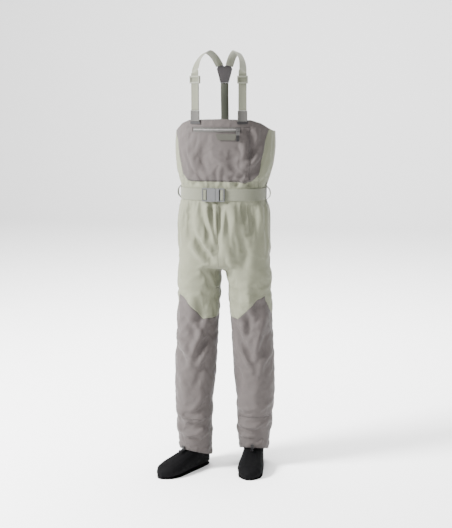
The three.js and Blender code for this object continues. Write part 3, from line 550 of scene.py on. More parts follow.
for side, s in STANCE.items():
    toes = Vector((math.sin(s["toe_out"]), -math.cos(s["toe_out"]), 0))
    across = Vector((-toes.y, toes.x, 0))
    middle = to_model(*s["ankle"], HEM)
    fore = toes + Vector((0, 0, HEM_SLOPE))
    split_faces(shell, middle - 0.12 * fore, middle + 0.12 * fore, across,
                lambda c, m=s["side"]: c.z < 0.13 and (own(c)[0] + 8) * m > 0)

centres = face_centres(shell)
unwanted = (own(centres)[:, 2] > rim_height(centres)) | (hem_rise(centres) < 0)
shape = bmesh.new()
shape.from_mesh(shell.data)
shape.faces.ensure_lookup_table()
bmesh.ops.delete(shape, geom=[shape.faces[i] for i in np.flatnonzero(unwanted)], context="FACES")
bmesh.ops.remove_doubles(shape, verts=shape.verts, dist=0.0012)
shape.to_mesh(shell.data)
shape.free()
print("open shell:", len(shell.data.polygons), "faces")

# %% [markdown]
# ## Hanging the cloth
# Waterproof cloth is thin but firm, so it folds in soft ridges and stacks up over the ankles. Those folds
# come from spare cloth: the pattern is cut wider and longer than the body. So the simulation starts from
# a roomy shell, and the rim, the belt line, the hems and everything that is sewn on are drawn in to size
# during the first frames by a shape key. What is spare between them has to fold. Everywhere else a faint
# hold keeps the cloth near the body, which stands in for the air and the wearer inside it.

# %% The roomy shell

rest = coords(shell)
mine = own(rest)
SPARE_LONG = [(40, 0.12), (150, 0.17), (220, 0.10), (330, 0.03), (430, 0.06), (560, 0.07), (640, 0.04),
              (780, 0.03), (900, 0.03), (1050, 0.04), (1110, 0.04), (1180, 0.02), (1400, 0.01)]
SPARE_WIDE = [(40, 0.03), (150, 0.07), (220, 0.06), (400, 0.06), (520, 0.07), (700, 0.05), (850, 0.05),
              (1000, 0.08), (1056, 0.10), (1104, 0.07), (1150, 0.035), (1250, 0.02), (1400, 0.01)]
grid = np.linspace(0, 1400, 1401)
longer = np.cumsum(1 + np.interp(grid, *zip(*SPARE_LONG))) - 1
wider = 1 + np.interp(mine[:, 2], *zip(*SPARE_WIDE))
middle = np.zeros((len(mine), 2))
for i, (x, y, z) in enumerate(mine):
    middle[i] = (-8, 0) if z > CROTCH else leg_at["left" if x > -8 else "right"](z)[:2]
roomy = mine.copy()
roomy[:, :2] = middle + (mine[:, :2] - middle) * wider[:, None]
crotch_share = np.exp(-(((mine[:, 2] - CROTCH) / 90) ** 2))[:, None]
roomy[:, :2] = roomy[:, :2] * (1 - crotch_share) + mine[:, :2] * crotch_share
roomy[:, 2] = np.interp(mine[:, 2], grid, longer)
print("spare cloth up to", round(float(np.linalg.norm(roomy - mine, axis=1).max())), "mm")

# %% [markdown]
# Real cloth is held where something grips it: at the rim, under the belt, at the hem and beside the hook
# tab. A vertex group holds those points fully and the rest faintly, so the garment keeps its form while
# folds appear.

# %% What is held, and how firmly

FAINT = 0.14
firm = np.full(len(mine), FAINT)
chest = chest_frame(mine)
above = np.abs(mine[:, 2] - BELT)
firm = np.maximum(firm, np.clip(1 - (above - 25) / 10, 0, 1))
firm = np.maximum(firm, np.clip(1 - (rim_height(rest) - mine[:, 2] - 4) / 30, 0, 1))
firm = np.maximum(firm, np.clip(1 - (hem_rise(rest) - 4) / 14, 0, 1))
zip_zone = (chest[:, 1] < 0) & (chest[:, 0] > -115) & (chest[:, 0] < 75)
firm = np.where(zip_zone, np.maximum(firm, np.clip(1 - (np.abs(chest[:, 2] - 1321) - 14) / 12, 0, 1)), firm)
for x, z, reach in ((15, 1294, 42), (-100, 1346, 26), (74, 1346, 26)):
    near = np.hypot(chest[:, 0] - x, chest[:, 2] - z)
    firm = np.where(chest[:, 1] < 0, np.maximum(firm, np.clip(1 - (near - reach) / 16, 0, 1)), firm)
near = np.hypot(chest[:, 0] + 13, chest[:, 2] - 1262)
firm = np.where(chest[:, 1] > 0, np.maximum(firm, np.clip(1 - (near - 28) / 16, 0, 1)), firm)
for angle_x in (-169, 153):
    near = np.hypot(mine[:, 0] - angle_x, np.maximum(0, np.abs(mine[:, 2] - BELT) - 40))
    firm = np.where(np.abs(mine[:, 1]) < 16, np.maximum(firm, np.clip(1 - (near - 6) / 12, 0, 1)), firm)

for s in STANCE.values():
    toes = (math.sin(s["toe_out"]), -math.cos(s["toe_out"]))
    tab = np.hypot(mine[:, 0] - s["ankle"][0] - 63 * toes[0], mine[:, 1] - s["ankle"][1] - 63 * toes[1])
    firm = np.where(mine[:, 2] < 106, np.maximum(firm, np.clip(1 - (tab - 14) / 14, 0, 1)), firm)

held = shell.vertex_groups.new(name="held")
for i, weight in enumerate(firm):
    held.add([i], float(weight), "REPLACE")
before = shell.data.attributes.new("before", "FLOAT_VECTOR", "POINT")
before.data.foreach_set("vector", rest.astype(np.float32).ravel())
print("held fully:", int((firm > 0.99).sum()), "of", len(firm))

# %% [markdown]
# The cloth starts roomy and is drawn in to its true size over the first frames, which leaves spare cloth
# that has to fold. How far a point may go is capped, because a skin that folds further meets what is
# inside it.

# %% Simulate


def hang(item, start_shape, frames=18, drawn_in=8):
    """Cloth simulation from a roomy start. Returns the points of the last frame."""
    set_coords(item, start_shape)
    item.shape_key_add(name="Basis")
    worn = item.shape_key_add(name="worn")
    worn.data.foreach_set("co", rest.ravel())
    for value, when in ((0, 1), (1, drawn_in)):
        worn.value = value
        worn.keyframe_insert("value", frame=when)
    cloth = item.modifiers.new("cloth", "CLOTH")
    s = cloth.settings
    s.quality = 5
    s.mass = 0.3
    s.tension_stiffness = s.compression_stiffness = 15
    s.shear_stiffness = 5
    s.bending_stiffness = 0.5
    s.tension_damping = s.compression_damping = s.shear_damping = 5
    s.vertex_group_mass = "held"
    s.pin_stiffness = 1
    s.effector_weights.gravity = 0.06
    cloth.collision_settings.use_collision = False
    cloth.point_cache.frame_start, cloth.point_cache.frame_end = 1, frames
    for now in range(1, frames + 1):
        scene.frame_set(now)
    out = np.empty(len(item.data.vertices) * 3)
    item.evaluated_get(bpy.context.evaluated_depsgraph_get()).data.vertices.foreach_get("co", out)
    item.modifiers.remove(cloth)
    item.data.shape_keys.animation_data_clear()
    item.shape_key_clear()
    scene.frame_set(1)
    return out.reshape(-1, 3)


SPARE = 1.4
FURTHEST = 0.0065
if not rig.quick():
    hung = hang(shell, rest + SPARE * (roomy - mine) / 1000)
    move = hung - rest
    far = np.linalg.norm(move, axis=1)
    move *= (FURTHEST * np.tanh(far / FURTHEST) / np.maximum(far, 1e-9))[:, None]
    set_coords(shell, rest + move)
    print("the cloth moved", round(float(far.mean()) * 1000, 1), "mm on average, kept under", FURTHEST * 1000)

# %% [markdown]
# ## Folds that the body makes
# The simulation gives small natural creases. The large ones have causes: gathers under the belt run down
# to the crotch, thigh cloth drags from the hip to the crotch, the knee breaks the leg into slanting
# folds, and the leg stacks up in rings over the ankle. Each is a ridge or a valley along a line drawn on
# the garment as seen from in front, so a line of points, a width and a height say all that is needed.

# %% Draw the folds
# Points are [across, height] in the garment's own millimetres. A minus height makes a valley.
FOLDS = {
    "torso": [
        ([(-74, 1056), (-66, 1000), (-44, 930), (-14, 862)], 13, -7),
        ([(-52, 1056), (-46, 1000), (-28, 930)], 10, 6),
        ([(-34, 1056), (-30, 1000), (-20, 940), (-10, 880)], 9, -7),
        ([(-14, 1056), (-16, 1000), (-12, 930)], 9, 6),
        ([(4, 1056), (2, 1000), (-4, 930), (-8, 860)], 9, -8),
        ([(-104, 1050), (-112, 990), (-108, 940)], 12, -4),
        ([(24, 1056), (14, 980), (2, 900)], 12, 5),
        ([(-112, 952), (-90, 900), (-50, 850), (-14, 826)], 16, -9),
        ([(-118, 900), (-92, 856), (-52, 826)], 15, 7), ([(-90, 940), (-58, 890), (-20, 850)], 12, 6),
        ([(48, 1056), (56, 1000), (52, 940)], 14, 5), ([(84, 1058), (92, 1010), (90, 970)], 13, -7),
        ([(104, 1056), (124, 1000), (118, 950), (92, 925)], 15, -9),
        ([(132, 1052), (146, 1000), (140, 940)], 13, 6),
        ([(88, 930), (96, 860), (88, 790)], 16, -5), ([(14, 900), (34, 850), (60, 780)], 18, 4),
        ([(-150, 1046), (-152, 960), (-140, 880)], 16, 3), ([(60, 1128), (66, 1108)], 9, -5),
        ([(34, 1136), (40, 1108)], 9, 5),
        ([(88, 1136), (84, 1108)], 10, 5),
        ([(110, 1134), (108, 1108)], 9, -4),
        ([(-96, 1130), (-98, 1108)], 12, -3), ([(-134, 1150), (-128, 1110)], 12, 3),
    ],
    "bib": [
        ([(98, 1338), (112, 1296), (116, 1240), (104, 1206)], 12, -7),
        ([(122, 1330), (136, 1290), (132, 1250)], 12, 6),
        ([(160, 1316), (146, 1280), (118, 1236), (96, 1222)], 14, -6),
        ([(86, 1300), (92, 1250), (84, 1200)], 14, 4),
        ([(140, 1240), (122, 1200), (70, 1186)], 14, 5), ([(60, 1250), (52, 1200), (56, 1150)], 20, -3),
        ([(4, 1250), (10, 1200), (0, 1160)], 22, 2.5), ([(-60, 1300), (-66, 1200), (-60, 1140)], 24, -2.5),
        ([(-92, 1290), (-96, 1200), (-92, 1140)], 20, 2), ([(150, 1220), (124, 1170), (96, 1148)], 14, -5),
        ([(20, 1152), (60, 1144), (108, 1152)], 9, -3.5),
    ],
    "right": [
        ([(-60, 690), (-80, 620), (-76, 560), (-58, 520)], 15, -5),
        ([(-120, 700), (-116, 620), (-128, 560)], 18, 4),
        ([(-52, 590), (-88, 520), (-112, 440), (-130, 400)], 14, 7),
        ([(-36, 560), (-58, 510), (-92, 450)], 12, -7),
        ([(-150, 600), (-112, 560), (-88, 500)], 14, -5), ([(-184, 520), (-150, 500), (-118, 440)], 14, 6),
        ([(-186, 478), (-160, 456), (-132, 420)], 12, -6), ([(-40, 500), (-72, 440), (-86, 400)], 11, 5),
        ([(-50, 450), (-84, 380), (-96, 330)], 14, -4), ([(-160, 400), (-140, 320), (-150, 250)], 18, 3),
        ([(-70, 330), (-84, 270), (-120, 226)], 13, 4), ([(-64, 262), (-96, 228), (-150, 214)], 10, -6),
        ([(-178, 238), (-140, 206), (-96, 196), (-58, 214)], 9, 6),
        ([(-180, 206), (-140, 178), (-96, 170), (-60, 190)], 8, -6),
        ([(-176, 182), (-130, 150), (-90, 150), (-56, 170)], 8, 6),
        ([(-168, 150), (-128, 128), (-80, 132)], 7, -4),
        ([(-96, 150), (-100, 96)], 6, -4),
        ([(-118, 140), (-120, 92)], 6, 3),
        ([(-74, 146), (-80, 100)], 6, 3),
    ],
    "left": [
        ([(40, 780), (60, 700), (52, 620)], 16, -4), ([(140, 760), (132, 680), (144, 610)], 18, -5),
        ([(110, 760), (104, 690), (118, 620)], 16, 4),
        ([(176, 640), (150, 560), (132, 480), (130, 420)], 14, 7),
        ([(36, 590), (70, 520), (110, 470), (128, 440)], 14, -7), ([(60, 620), (84, 560), (78, 510)], 13, 5),
        ([(90, 640), (108, 580), (92, 530)], 13, -5), ([(178, 560), (160, 500), (162, 440)], 13, -5),
        ([(40, 520), (84, 460), (112, 400), (120, 370)], 12, 5),
        ([(180, 470), (152, 420), (148, 370)], 12, 5),
        ([(48, 420), (70, 350), (60, 280)], 16, -4), ([(150, 360), (128, 300), (134, 240)], 16, 3),
        ([(44, 250), (90, 236), (150, 246), (176, 262)], 13, 4),
        ([(46, 206), (84, 196), (130, 198), (176, 216)], 9, -6),
        ([(46, 184), (90, 170), (134, 174), (172, 190)], 8, 6),
        ([(48, 160), (92, 148), (140, 150), (170, 164)], 8, -6),
        ([(50, 140), (96, 128), (150, 136)], 8, 5),
        ([(64, 120), (66, 92)], 6, -4),
        ([(150, 122), (148, 84)], 6, 3),
    ],
}


def drape_line(points, line):
    """Distance of each point from the line, and how far along it the nearest place is, from 0 to 1."""
    line = np.array(line, float)
    steps = np.linalg.norm(np.diff(line, axis=0), axis=1)
    total, gone = steps.sum(), 0.0
    best = np.full(len(points), 1e9)
    share = np.zeros(len(points))
    for p, q, step in zip(line[:-1], line[1:], steps):
        t = np.clip(((points - p) @ (q - p)) / step**2, 0, 1)
        d = np.linalg.norm(points - (p + t[:, None] * (q - p)), axis=1)
        closer = d < best
        best = np.where(closer, d, best)
        share = np.where(closer, (gone + t * step) / total, share)
        gone += step
    return best, share


def spline(line, steps=6):
    """The same line, rounded through its points."""
    pts = [line[0], *line, line[-1]]
    out = []
    for a, b, c, d in zip(pts[:-3], pts[1:-2], pts[2:-1], pts[3:]):
        for t in np.linspace(0, 1, steps, endpoint=False):
            out.append([0.5 * (2 * b[k] + (c[k] - a[k]) * t + (2 * a[k] - 5 * b[k] + 4 * c[k] - d[k]) * t**2
                               + (3 * b[k] - a[k] - 3 * c[k] + d[k]) * t**3) for k in (0, 1)])
    return out + [list(line[-1])]


def fold_heights(points, facing):
    """Height of every fold at points seen from the front (facing -1) or from behind (facing 1)."""
    flat = points[:, [0, 2]].copy()
    if facing > 0:  # the back of the garment gets the same kinds of fold, mirrored and shifted
        flat[:, 0] = -16 - flat[:, 0]
        flat[:, 1] += 14
    total = np.zeros(len(points))
    for zone, lines in FOLDS.items():
        for line, width, height in lines:
            if facing > 0 and zone == "bib":
                continue
            d, share = drape_line(flat, spline(line))
            ends = np.sin(np.pi * np.clip(share, 0.02, 0.98)) ** 0.6
            total += height * ends * np.exp(-((d / width) ** 2))
    return total


# %% [markdown]
# Simulation gives small folds anywhere. Folds that a wearer makes are drawn as lines, and each lifts or
# lowers the skin along its normals, calmed near the zip, the anchors, the belt and the rim, where sewing
# keeps it flat.

# %% Lift the folds off the skin


def vertex_normals(item):
    out = np.empty(len(item.data.vertices) * 3)
    item.data.vertices.foreach_get("normal", out)
    return out.reshape(-1, 3)


def stored(item, name):
    layer = item.data.attributes[name]
    out = np.empty(len(item.data.vertices) * 3, np.float32)
    layer.data.foreach_get("vector", out)
    return out.reshape(-1, 3).astype(float)


FOLD_SCALE = 1.6
fine = shell.modifiers.new("fine", "SUBSURF")
fine.levels = fine.render_levels = 1
apply_all(shell)
shell.vertex_groups.clear()
start = own(stored(shell, "before"))
normals = vertex_normals(shell)
front_share = np.clip(0.5 - 2.2 * normals[:, 1], 0, 1)
lift = fold_heights(start, -1) * front_share + fold_heights(start, 1) * (1 - front_share)
calm = np.clip((np.abs(start[:, 2] - BELT) - 24) / 14, 0, 1)
calm *= np.clip((rim_height(stored(shell, "before")) - start[:, 2]) / 30, 0, 1)
seen = chest_frame(start)
for x, z, half, high in ((-21, 1321, 92, 12), (15, 1292, 40, 14), (-100, 1346, 20, 14), (74, 1346, 20, 14)):
    away = np.maximum(np.abs(seen[:, 0] - x) - half, np.abs(seen[:, 2] - z) - high)
    calm = np.where(seen[:, 1] < 0, calm * np.clip(away / 12, 0, 1), calm)
lift *= calm * np.clip((hem_rise(stored(shell, "before")) - 3) / 10, 0.25, 1)
set_coords(shell, coords(shell) + normals * (FOLD_SCALE * lift / 1000)[:, None])
print("folds from", round(float(lift.min()), 1), "to", round(float(lift.max()), 1), "mm")

# %% [markdown]
# The cuff lies over a sock that fills it, and the belt and its loops lie on the cloth from outside. Cloth
# can't pass through either, so its way in is limited over the sock, and its way out is limited under the
# belt.

# %% Keep the cloth off the sock, the belt and the loops

moved = ((coords(shell) - stored(shell, "before")) * normals).sum(axis=1) * 1000
furthest_in = -1.2 - 20 * np.clip((start[:, 2] - 235) / 50, 0, 1)
middle_x = torso_at(BELT)[5]
at_back_loop = (np.abs(start[:, 0] - middle_x) < 26) & (start[:, 1] > 0)
at_side_loop = (np.abs(start[:, 1]) < 20) & (np.abs(start[:, 0] - middle_x) > 60)
free_from = np.where(at_back_loop | at_side_loop, 46.0, 27.0)
furthest_out = 0.4 + 20 * np.clip((np.abs(start[:, 2] - BELT) - free_from) / 20, 0, 1)
mended = np.clip(moved, furthest_in, furthest_out)
set_coords(shell, coords(shell) + normals * ((mended - moved) / 1000)[:, None])
print("kept clear:", int((mended != moved).sum()), "points, by up to",
      round(float(np.abs(mended - moved).max()), 1), "mm")

# %% [markdown]
# ## Cutting the panels
# The cloth now hangs as one skin, but real waders are sewn from panels in two colours. The seams were
# drawn on the body, not on the folds, so the skin is put back to its smooth shape for a moment, cut there
# with straight blades, and hung again: the cuts then follow every fold.

# %% The seam lines

BIB_HALF = [(114, 1128), (142, 1158), (149, 1190), (158, 1244), (174, 1314), (222, 1400)]
BIB_EDGE = [(-8 - x, z) for x, z in reversed(BIB_HALF)] + [(-8 + x, z) for x, z in BIB_HALF]


def knee_line(side):
    s = STANCE[side]
    low, high = KNEE + 84, KNEE + 178
    shares = [(-2.2, low + 4), (-0.5, low + 4), (0.45, high - 12), (0.75, high), (0.98, low + 10), (1.6, low)]
    return [(s["knee"][0] + s["side"] * 80 * share, z) for share, z in shares]


def side_line(side):
    s = STANCE[side]
    return [(0, BELT), (0, CROTCH + 40), (s["knee"][1], KNEE), (s["ankle"][1], 150)]


def hung_to_smooth(item, name):
    """Swaps the hung points with the ones stored under a name."""
    other = stored(item, name)
    now = coords(item)
    item.data.attributes[name].data.foreach_set("vector", now.astype(np.float32).ravel())
    set_coords(item, other)


hung_to_smooth(shell, "before")
Y_AXIS = Vector((0, 1, 0))
CHEST_Y = to_model(0, 1, 0, True) - to_model(0, 0, 0, True)


def cut_xz(line, near, chest=False):
    for (x0, z0), (x1, z1) in zip(line[:-1], line[1:]):
        split_faces(shell, to_model(x0, 0, z0, chest), to_model(x1, 0, z1, chest),
                    CHEST_Y if chest else Y_AXIS, near)


def on_torso_front(c):
    return c.z > 1.082 and is_front(c)


cut_xz(BIB_EDGE, on_torso_front, True)
POCKET = [(-131, 1330), (-131, 1132), (101, 1132), (101, 1330), (-131, 1330)]
ZIP_SLOT = [(-109.5, 1329.3), (-109.5, 1312.7), (67.5, 1312.7), (67.5, 1329.3), (-109.5, 1329.3)]
for line in (POCKET, ZIP_SLOT):
    cut_xz(line, on_torso_front, True)
cut_xz([(-250, BELT), (250, BELT)], lambda c: True)
for x in (-118, 118):
    cut_xz([(x, BELT), (x, 1330)], lambda c: c.z > 1.082 and not is_front(c))
cut_xz([(-8, CROTCH - 20), (-8, BELT)], lambda c: c.z < 1.08)
for side, s in STANCE.items():
    same_side = lambda c, m=s["side"]: (own(c)[0] + 8) * m > 0
    cut_xz(knee_line(side), same_side)
    for (y0, z0), (y1, z1) in zip(side_line(side)[:-1], side_line(side)[1:]):
        split_faces(shell, to_model(0, y0, z0), to_model(0, y1, z1), (1, 0, 0), same_side)
    cut_xz([(s["side"] * 250 - 8, 205), (-8, 205)], same_side)


def near_gusset(c):
    x, y, z = own(c)
    return abs(x + 8) < 50 and abs(y) < 60 and 700 < z < 822


for x in (-50, 34):
    cut_xz([(x, 705), (x, 818)], near_gusset)
cut_xz([(-52, 712), (36, 712)], near_gusset)
for y in (-52, 52):
    split_faces(shell, to_model(0, y, 705), to_model(0, y, 818), (1, 0, 0), near_gusset)
print("after the cuts:", len(shell.data.polygons), "faces")

# %% [markdown]
# After the cuts each face lies on one side of every seam, so where its middle is tells which panel it
# belongs to.

# %% Name the panels

middle_of = own(face_centres(shell))
seen_of = chest_frame(middle_of)


def below(line, across, height):
    xs, zs = zip(*sorted(line))
    return height < np.interp(across, xs, zs)


panel = np.full(len(middle_of), "", dtype=object)
right_of = middle_of[:, 0] < -8
for side, s in STANCE.items():
    mask = (right_of if side == "right" else ~right_of) & (middle_of[:, 2] < BELT)
    under = below(knee_line(side), middle_of[:, 0], middle_of[:, 2])
    ys = np.interp(-middle_of[:, 2], *zip(*[(-z, y) for y, z in side_line(side)]))
    front = middle_of[:, 1] < ys
    panel[mask & ~under & front] = side + "_front_leg"
    panel[mask & ~under & ~front] = side + "_seat"
    panel[mask & under] = side + "_lower_leg_cloth"
    panel[mask & under & (middle_of[:, 2] < 205)] = side + "_guard"
between = (np.abs(middle_of[:, 0] + 8) < 42) & (np.abs(middle_of[:, 1]) < 52) & (middle_of[:, 2] > 712)
panel[between & (middle_of[:, 2] < 818)] = "gusset"
upper = middle_of[:, 2] >= BELT
inside_bib = np.abs(seen_of[:, 0] + 8) < np.interp(seen_of[:, 2], *zip(*[(z, x) for x, z in BIB_HALF]))
bib_mask = upper & (seen_of[:, 1] < 0) & inside_bib & (seen_of[:, 2] > 1128)
panel[upper & (seen_of[:, 1] < 0)] = "waist_front"
panel[upper & (seen_of[:, 1] >= 0) & (np.abs(seen_of[:, 0]) < 118)] = "back"
panel[upper & (seen_of[:, 1] >= 0) & (seen_of[:, 0] <= -118)] = "right_flank"
panel[upper & (seen_of[:, 1] >= 0) & (seen_of[:, 0] >= 118)] = "left_flank"
front_sides = upper & (seen_of[:, 1] < 0) & (middle_of[:, 2] > 1153) & ~inside_bib
panel[front_sides & (seen_of[:, 0] < 0)] = "right_flank"
panel[front_sides & (seen_of[:, 0] > 0)] = "left_flank"
wide = upper & (seen_of[:, 1] < 0) & (np.abs(seen_of[:, 0] + 8) > 142)
panel[wide & ~inside_bib & (seen_of[:, 0] < 0)] = "right_flank"
panel[wide & ~inside_bib & (seen_of[:, 0] > 0)] = "left_flank"
panel[bib_mask] = "bib_front"
for name in sorted(set(panel)):
    print(name, int((panel == name).sum()), "faces")

# %% [markdown]
# Each point learns how far it is from the nearest seam, and where it is round the body and up it. The
# finish draws its weave from the one and its seams and stitches from the other.

# %% Distance to the nearest seam

polygons = shell.data.polygons
edge_panels = {}
for index, polygon in enumerate(polygons):
    for key in polygon.edge_keys:
        edge_panels.setdefault(key, []).append(panel[index])
smooth_points = coords(shell)
seam_points = [v for key, found in edge_panels.items() if len(found) < 2 or found[0] != found[1] for v in key]
tree = kdtree.KDTree(len(seam_points))
for index, v in enumerate(seam_points):
    tree.insert(smooth_points[v], index)
tree.balance()
to_seam = np.array([tree.find(p)[2] for p in smooth_points])
hung_points = stored(shell, "before")


def around(points):
    """Distance round the body from its back, and height: a map of the cloth as it was woven, in metres."""
    mine = own(points)
    out = np.zeros((len(mine), 2))
    for i, (x, y, z) in enumerate(mine):
        if z > CROTCH:
            cx, cy, radius = -8, 0, 150
        else:
            cx, cy = leg_at["left" if x > -8 else "right"](z)[:2]
            radius = 80
        out[i] = math.atan2(x - cx, -(y - cy)) * radius / 1000, z / 1000
    return out


woven = around(smooth_points)
print("furthest cloth from a seam:", round(float(to_seam.max()) * 1000), "mm")

# %% [markdown]
# ## Cloth finishes
# The shell is a plain weave of fine polyester, matt, with a slight mottling where the face fabric wets
# and wears. Its pattern follows a map stored on each panel: distance round the body, height, and distance
# to the nearest seam. The weave is two crossing waves. The third number draws what a flat-felled seam
# shows: a groove with painted shade in it, a raised band of doubled cloth, and two rows of stitches.

# %% Node helpers


def add_node(tree, kind, inputs=None, **settings):
    made = tree.nodes.new(kind)
    for key, value in settings.items():
        setattr(made, key, value)
    for key, value in (inputs or {}).items():
        if isinstance(value, bpy.types.NodeSocket):
            tree.links.new(value, made.inputs[key])
        else:
            made.inputs[key].default_value = value
    return made


def maths(tree, what, a, b=0.0, c=0.0, clamp=False):
    return add_node(tree, "ShaderNodeMath", {0: a, 1: b, 2: c}, operation=what, use_clamp=clamp).outputs[0]


def mix_colour(tree, share, a, b):
    made = tree.nodes.new("ShaderNodeMix")
    made.data_type = "RGBA"
    for socket, value in ((made.inputs["Factor"], share), (made.inputs["A"], a), (made.inputs["B"], b)):
        if isinstance(value, bpy.types.NodeSocket):
            tree.links.new(value, socket)
        elif socket.name == "Factor":
            socket.default_value = value
        else:
            socket.default_value = (*value, 1)
    return made.outputs["Result"]


def start_finish(name, roughness, metallic=0.0, sheen=0.0, specular=0.35):
    made = bpy.data.materials.new(name)
    made.use_nodes = True
    tree = made.node_tree
    shader = tree.nodes["Principled BSDF"]
    shader.inputs["Roughness"].default_value = roughness
    shader.inputs["Metallic"].default_value = metallic
    shader.inputs["Sheen Weight"].default_value = sheen
    shader.inputs["Specular IOR Level"].default_value = specular
    return made, tree, shader


def noise(tree, vector, scale, detail=3.0, roughness=0.5):
    return add_node(tree, "ShaderNodeTexNoise", {"Vector": vector, "Scale": scale, "Detail": detail,
                                                 "Roughness": roughness}).outputs["Fac"]


def wave(tree, vector, pitch, direction):
    """Bands a given distance apart, in metres, along one axis."""
    made = add_node(tree, "ShaderNodeTexWave", {"Vector": vector, "Scale": 0.3142 / pitch}, wave_type="BANDS",
                    bands_direction=direction)
    return made.outputs["Fac"]


def linear(srgb):
    """A colour picked from 0 to 255 as a share of light sent back, taken down for the bright studio."""
    return tuple(0.47 * ((v / 255 / 12.92) if v <= 10 else ((v / 255 + 0.055) / 1.055) ** 2.4) for v in srgb)


def shade(colour, by):
    return tuple(min(1, v * by) for v in colour)


# %% [markdown]
# One function makes both colours of cloth, so the weave, the worn tone and the felled seam are the same
# in each.

# %% The woven shell cloth


def shell_cloth(name, colour, worn):
    made, tree, shader = start_finish(name, 0.78, sheen=0.05, specular=0.2)
    place = add_node(tree, "ShaderNodeTexCoord").outputs["Object"]
    map_at = add_node(tree, "ShaderNodeAttribute", attribute_name="cloth_map").outputs["Vector"]
    parts = add_node(tree, "ShaderNodeSeparateXYZ", {0: map_at})
    seam = parts.outputs["Z"]
    weave = maths(tree, "MULTIPLY", wave(tree, map_at, 0.0011, "X"), wave(tree, map_at, 0.0011, "Y"))
    mottle = noise(tree, place, 9, 4, 0.6)
    scuff = noise(tree, place, 55, 5, 0.65)
    near_seam = maths(tree, "SUBTRACT", 1.0, maths(tree, "DIVIDE", seam, 0.009), clamp=True)
    groove_and_painted_shade = maths(tree, "SUBTRACT", 1.0, maths(tree, "DIVIDE", seam, 0.0016), clamp=True)
    dash = maths(tree, "GREATER_THAN", wave(tree, map_at, 0.0042, "DIAGONAL"), 0.35)
    rows = None
    for offset in (0.0028, 0.0072):
        off = maths(tree, "ABSOLUTE", maths(tree, "SUBTRACT", seam, offset))
        row = maths(tree, "LESS_THAN", off, 0.0005)
        rows = row if rows is None else maths(tree, "MAXIMUM", rows, row)
    stitch = maths(tree, "MULTIPLY", rows, dash)
    tone = mix_colour(tree, mottle, shade(colour, 0.93), shade(colour, 1.06))
    tone = mix_colour(tree, maths(tree, "MULTIPLY", scuff, 0.22), tone, worn)
    # Painted shade: the colour is darkened to 0.42 inside the seam groove, as if shadow lay in it.
    tone = mix_colour(tree, maths(tree, "MULTIPLY", groove_and_painted_shade, 0.55), tone, shade(colour, 0.42))
    tone = mix_colour(tree, maths(tree, "MULTIPLY", stitch, 0.5), tone, shade(colour, 0.62))
    tree.links.new(tone, shader.inputs["Base Color"])
    rough = maths(tree, "MULTIPLY_ADD", scuff, 0.18, 0.66)
    tree.links.new(rough, shader.inputs["Roughness"])
    height = maths(tree, "MULTIPLY", weave, 0.10)
    height = maths(tree, "MULTIPLY_ADD", maths(tree, "GREATER_THAN", near_seam, 0.02), 0.45, height)
    height = maths(tree, "MULTIPLY_ADD", groove_and_painted_shade, -0.9, height)
    height = maths(tree, "MULTIPLY_ADD", stitch, -0.35, height)
    height = maths(tree, "MULTIPLY_ADD", noise(tree, place, 38, 5, 0.6), 0.9, height)
    creases = add_node(tree, "ShaderNodeTexNoise", {"Vector": place, "Scale": 11, "Detail": 3,
                                                       "Distortion": 0.6},
                       noise_type="RIDGED_MULTIFRACTAL", normalize=True).outputs["Fac"]
    height = maths(tree, "MULTIPLY_ADD", creases, 8.0, height)
    bump = add_node(tree, "ShaderNodeBump", {"Height": height, "Distance": 0.0009, "Strength": 0.55})
    tree.links.new(bump.outputs["Normal"], shader.inputs["Normal"])
    return made


SAGE = linear((146, 148, 126))
TAUPE = linear((102, 95, 93))
sage_cloth = shell_cloth("sage_cloth", SAGE, shade(SAGE, 1.14))
taupe_cloth = shell_cloth("taupe_cloth", TAUPE, shade(TAUPE, 1.2))
print("cloth finishes made")

# %% [markdown]
# ## Panels of their own
# Each panel becomes its own object: its faces are copied out of the shell, hung back on the folds, and
# given the thickness of the cloth with a Solidify modifier that grows inwards, so the outer face stays
# where the simulation left it. The lower legs bend at the knee: the cloth above the knee follows the
# thigh, the cloth below it follows the shin, and what is between turns smoothly.

# %% Copy a panel out


def give_map(item, values):
    known = item.data.attributes
    layer = known.get("cloth_map") or known.new("cloth_map", "FLOAT_VECTOR", "POINT")
    layer.data.foreach_set("vector", np.asarray(values, np.float32).ravel())


def finish_piece(item, material, slot, body, nodes=()):
    item.data.materials.clear()
    item.data.materials.append(material)
    only(item)
    bpy.ops.object.shade_smooth()
    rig.slot(item, slot)
    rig.replaces(item, *nodes)
    if body:
        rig.ride(item, body)
    return item


polygon_verts = [tuple(p.vertices) for p in polygons]


def copy_out(name, wanted, edge_distance=None, lift=0.0):
    faces = [polygon_verts[i] for i in np.flatnonzero(wanted)]
    used = np.unique(np.concatenate([np.array(f) for f in faces]))
    new_index = {int(v): i for i, v in enumerate(used)}
    item = new_object(name, hung_points[used], [[new_index[v] for v in f] for f in faces])
    distance = to_seam if edge_distance is None else edge_distance
    values = np.column_stack([woven[used], distance[used]])
    at_corner = np.array([values[v] for p in item.data.polygons for v in p.vertices], np.float32)
    first = 0
    for p in item.data.polygons:
        corner = at_corner[first : first + len(p.vertices)]
        radius = 0.15 if corner[0, 1] * 1000 > CROTCH else 0.08
        if np.ptp(corner[:, 0]) > math.pi * radius:
            corner[corner[:, 0] < 0, 0] += 2 * math.pi * radius
        first += len(p.vertices)
    layer = item.data.attributes.new("cloth_map", "FLOAT_VECTOR", "CORNER")
    layer.data.foreach_set("vector", at_corner.ravel())
    if lift:
        set_coords(item, coords(item) + vertex_normals(item) * lift)
    return item


def thicken(item, thickness, offset=-1):
    wall = item.modifiers.new("cloth wall", "SOLIDIFY")
    wall.thickness = thickness
    wall.offset = offset
    wall.use_even_offset = False
    apply_all(item)
    return item


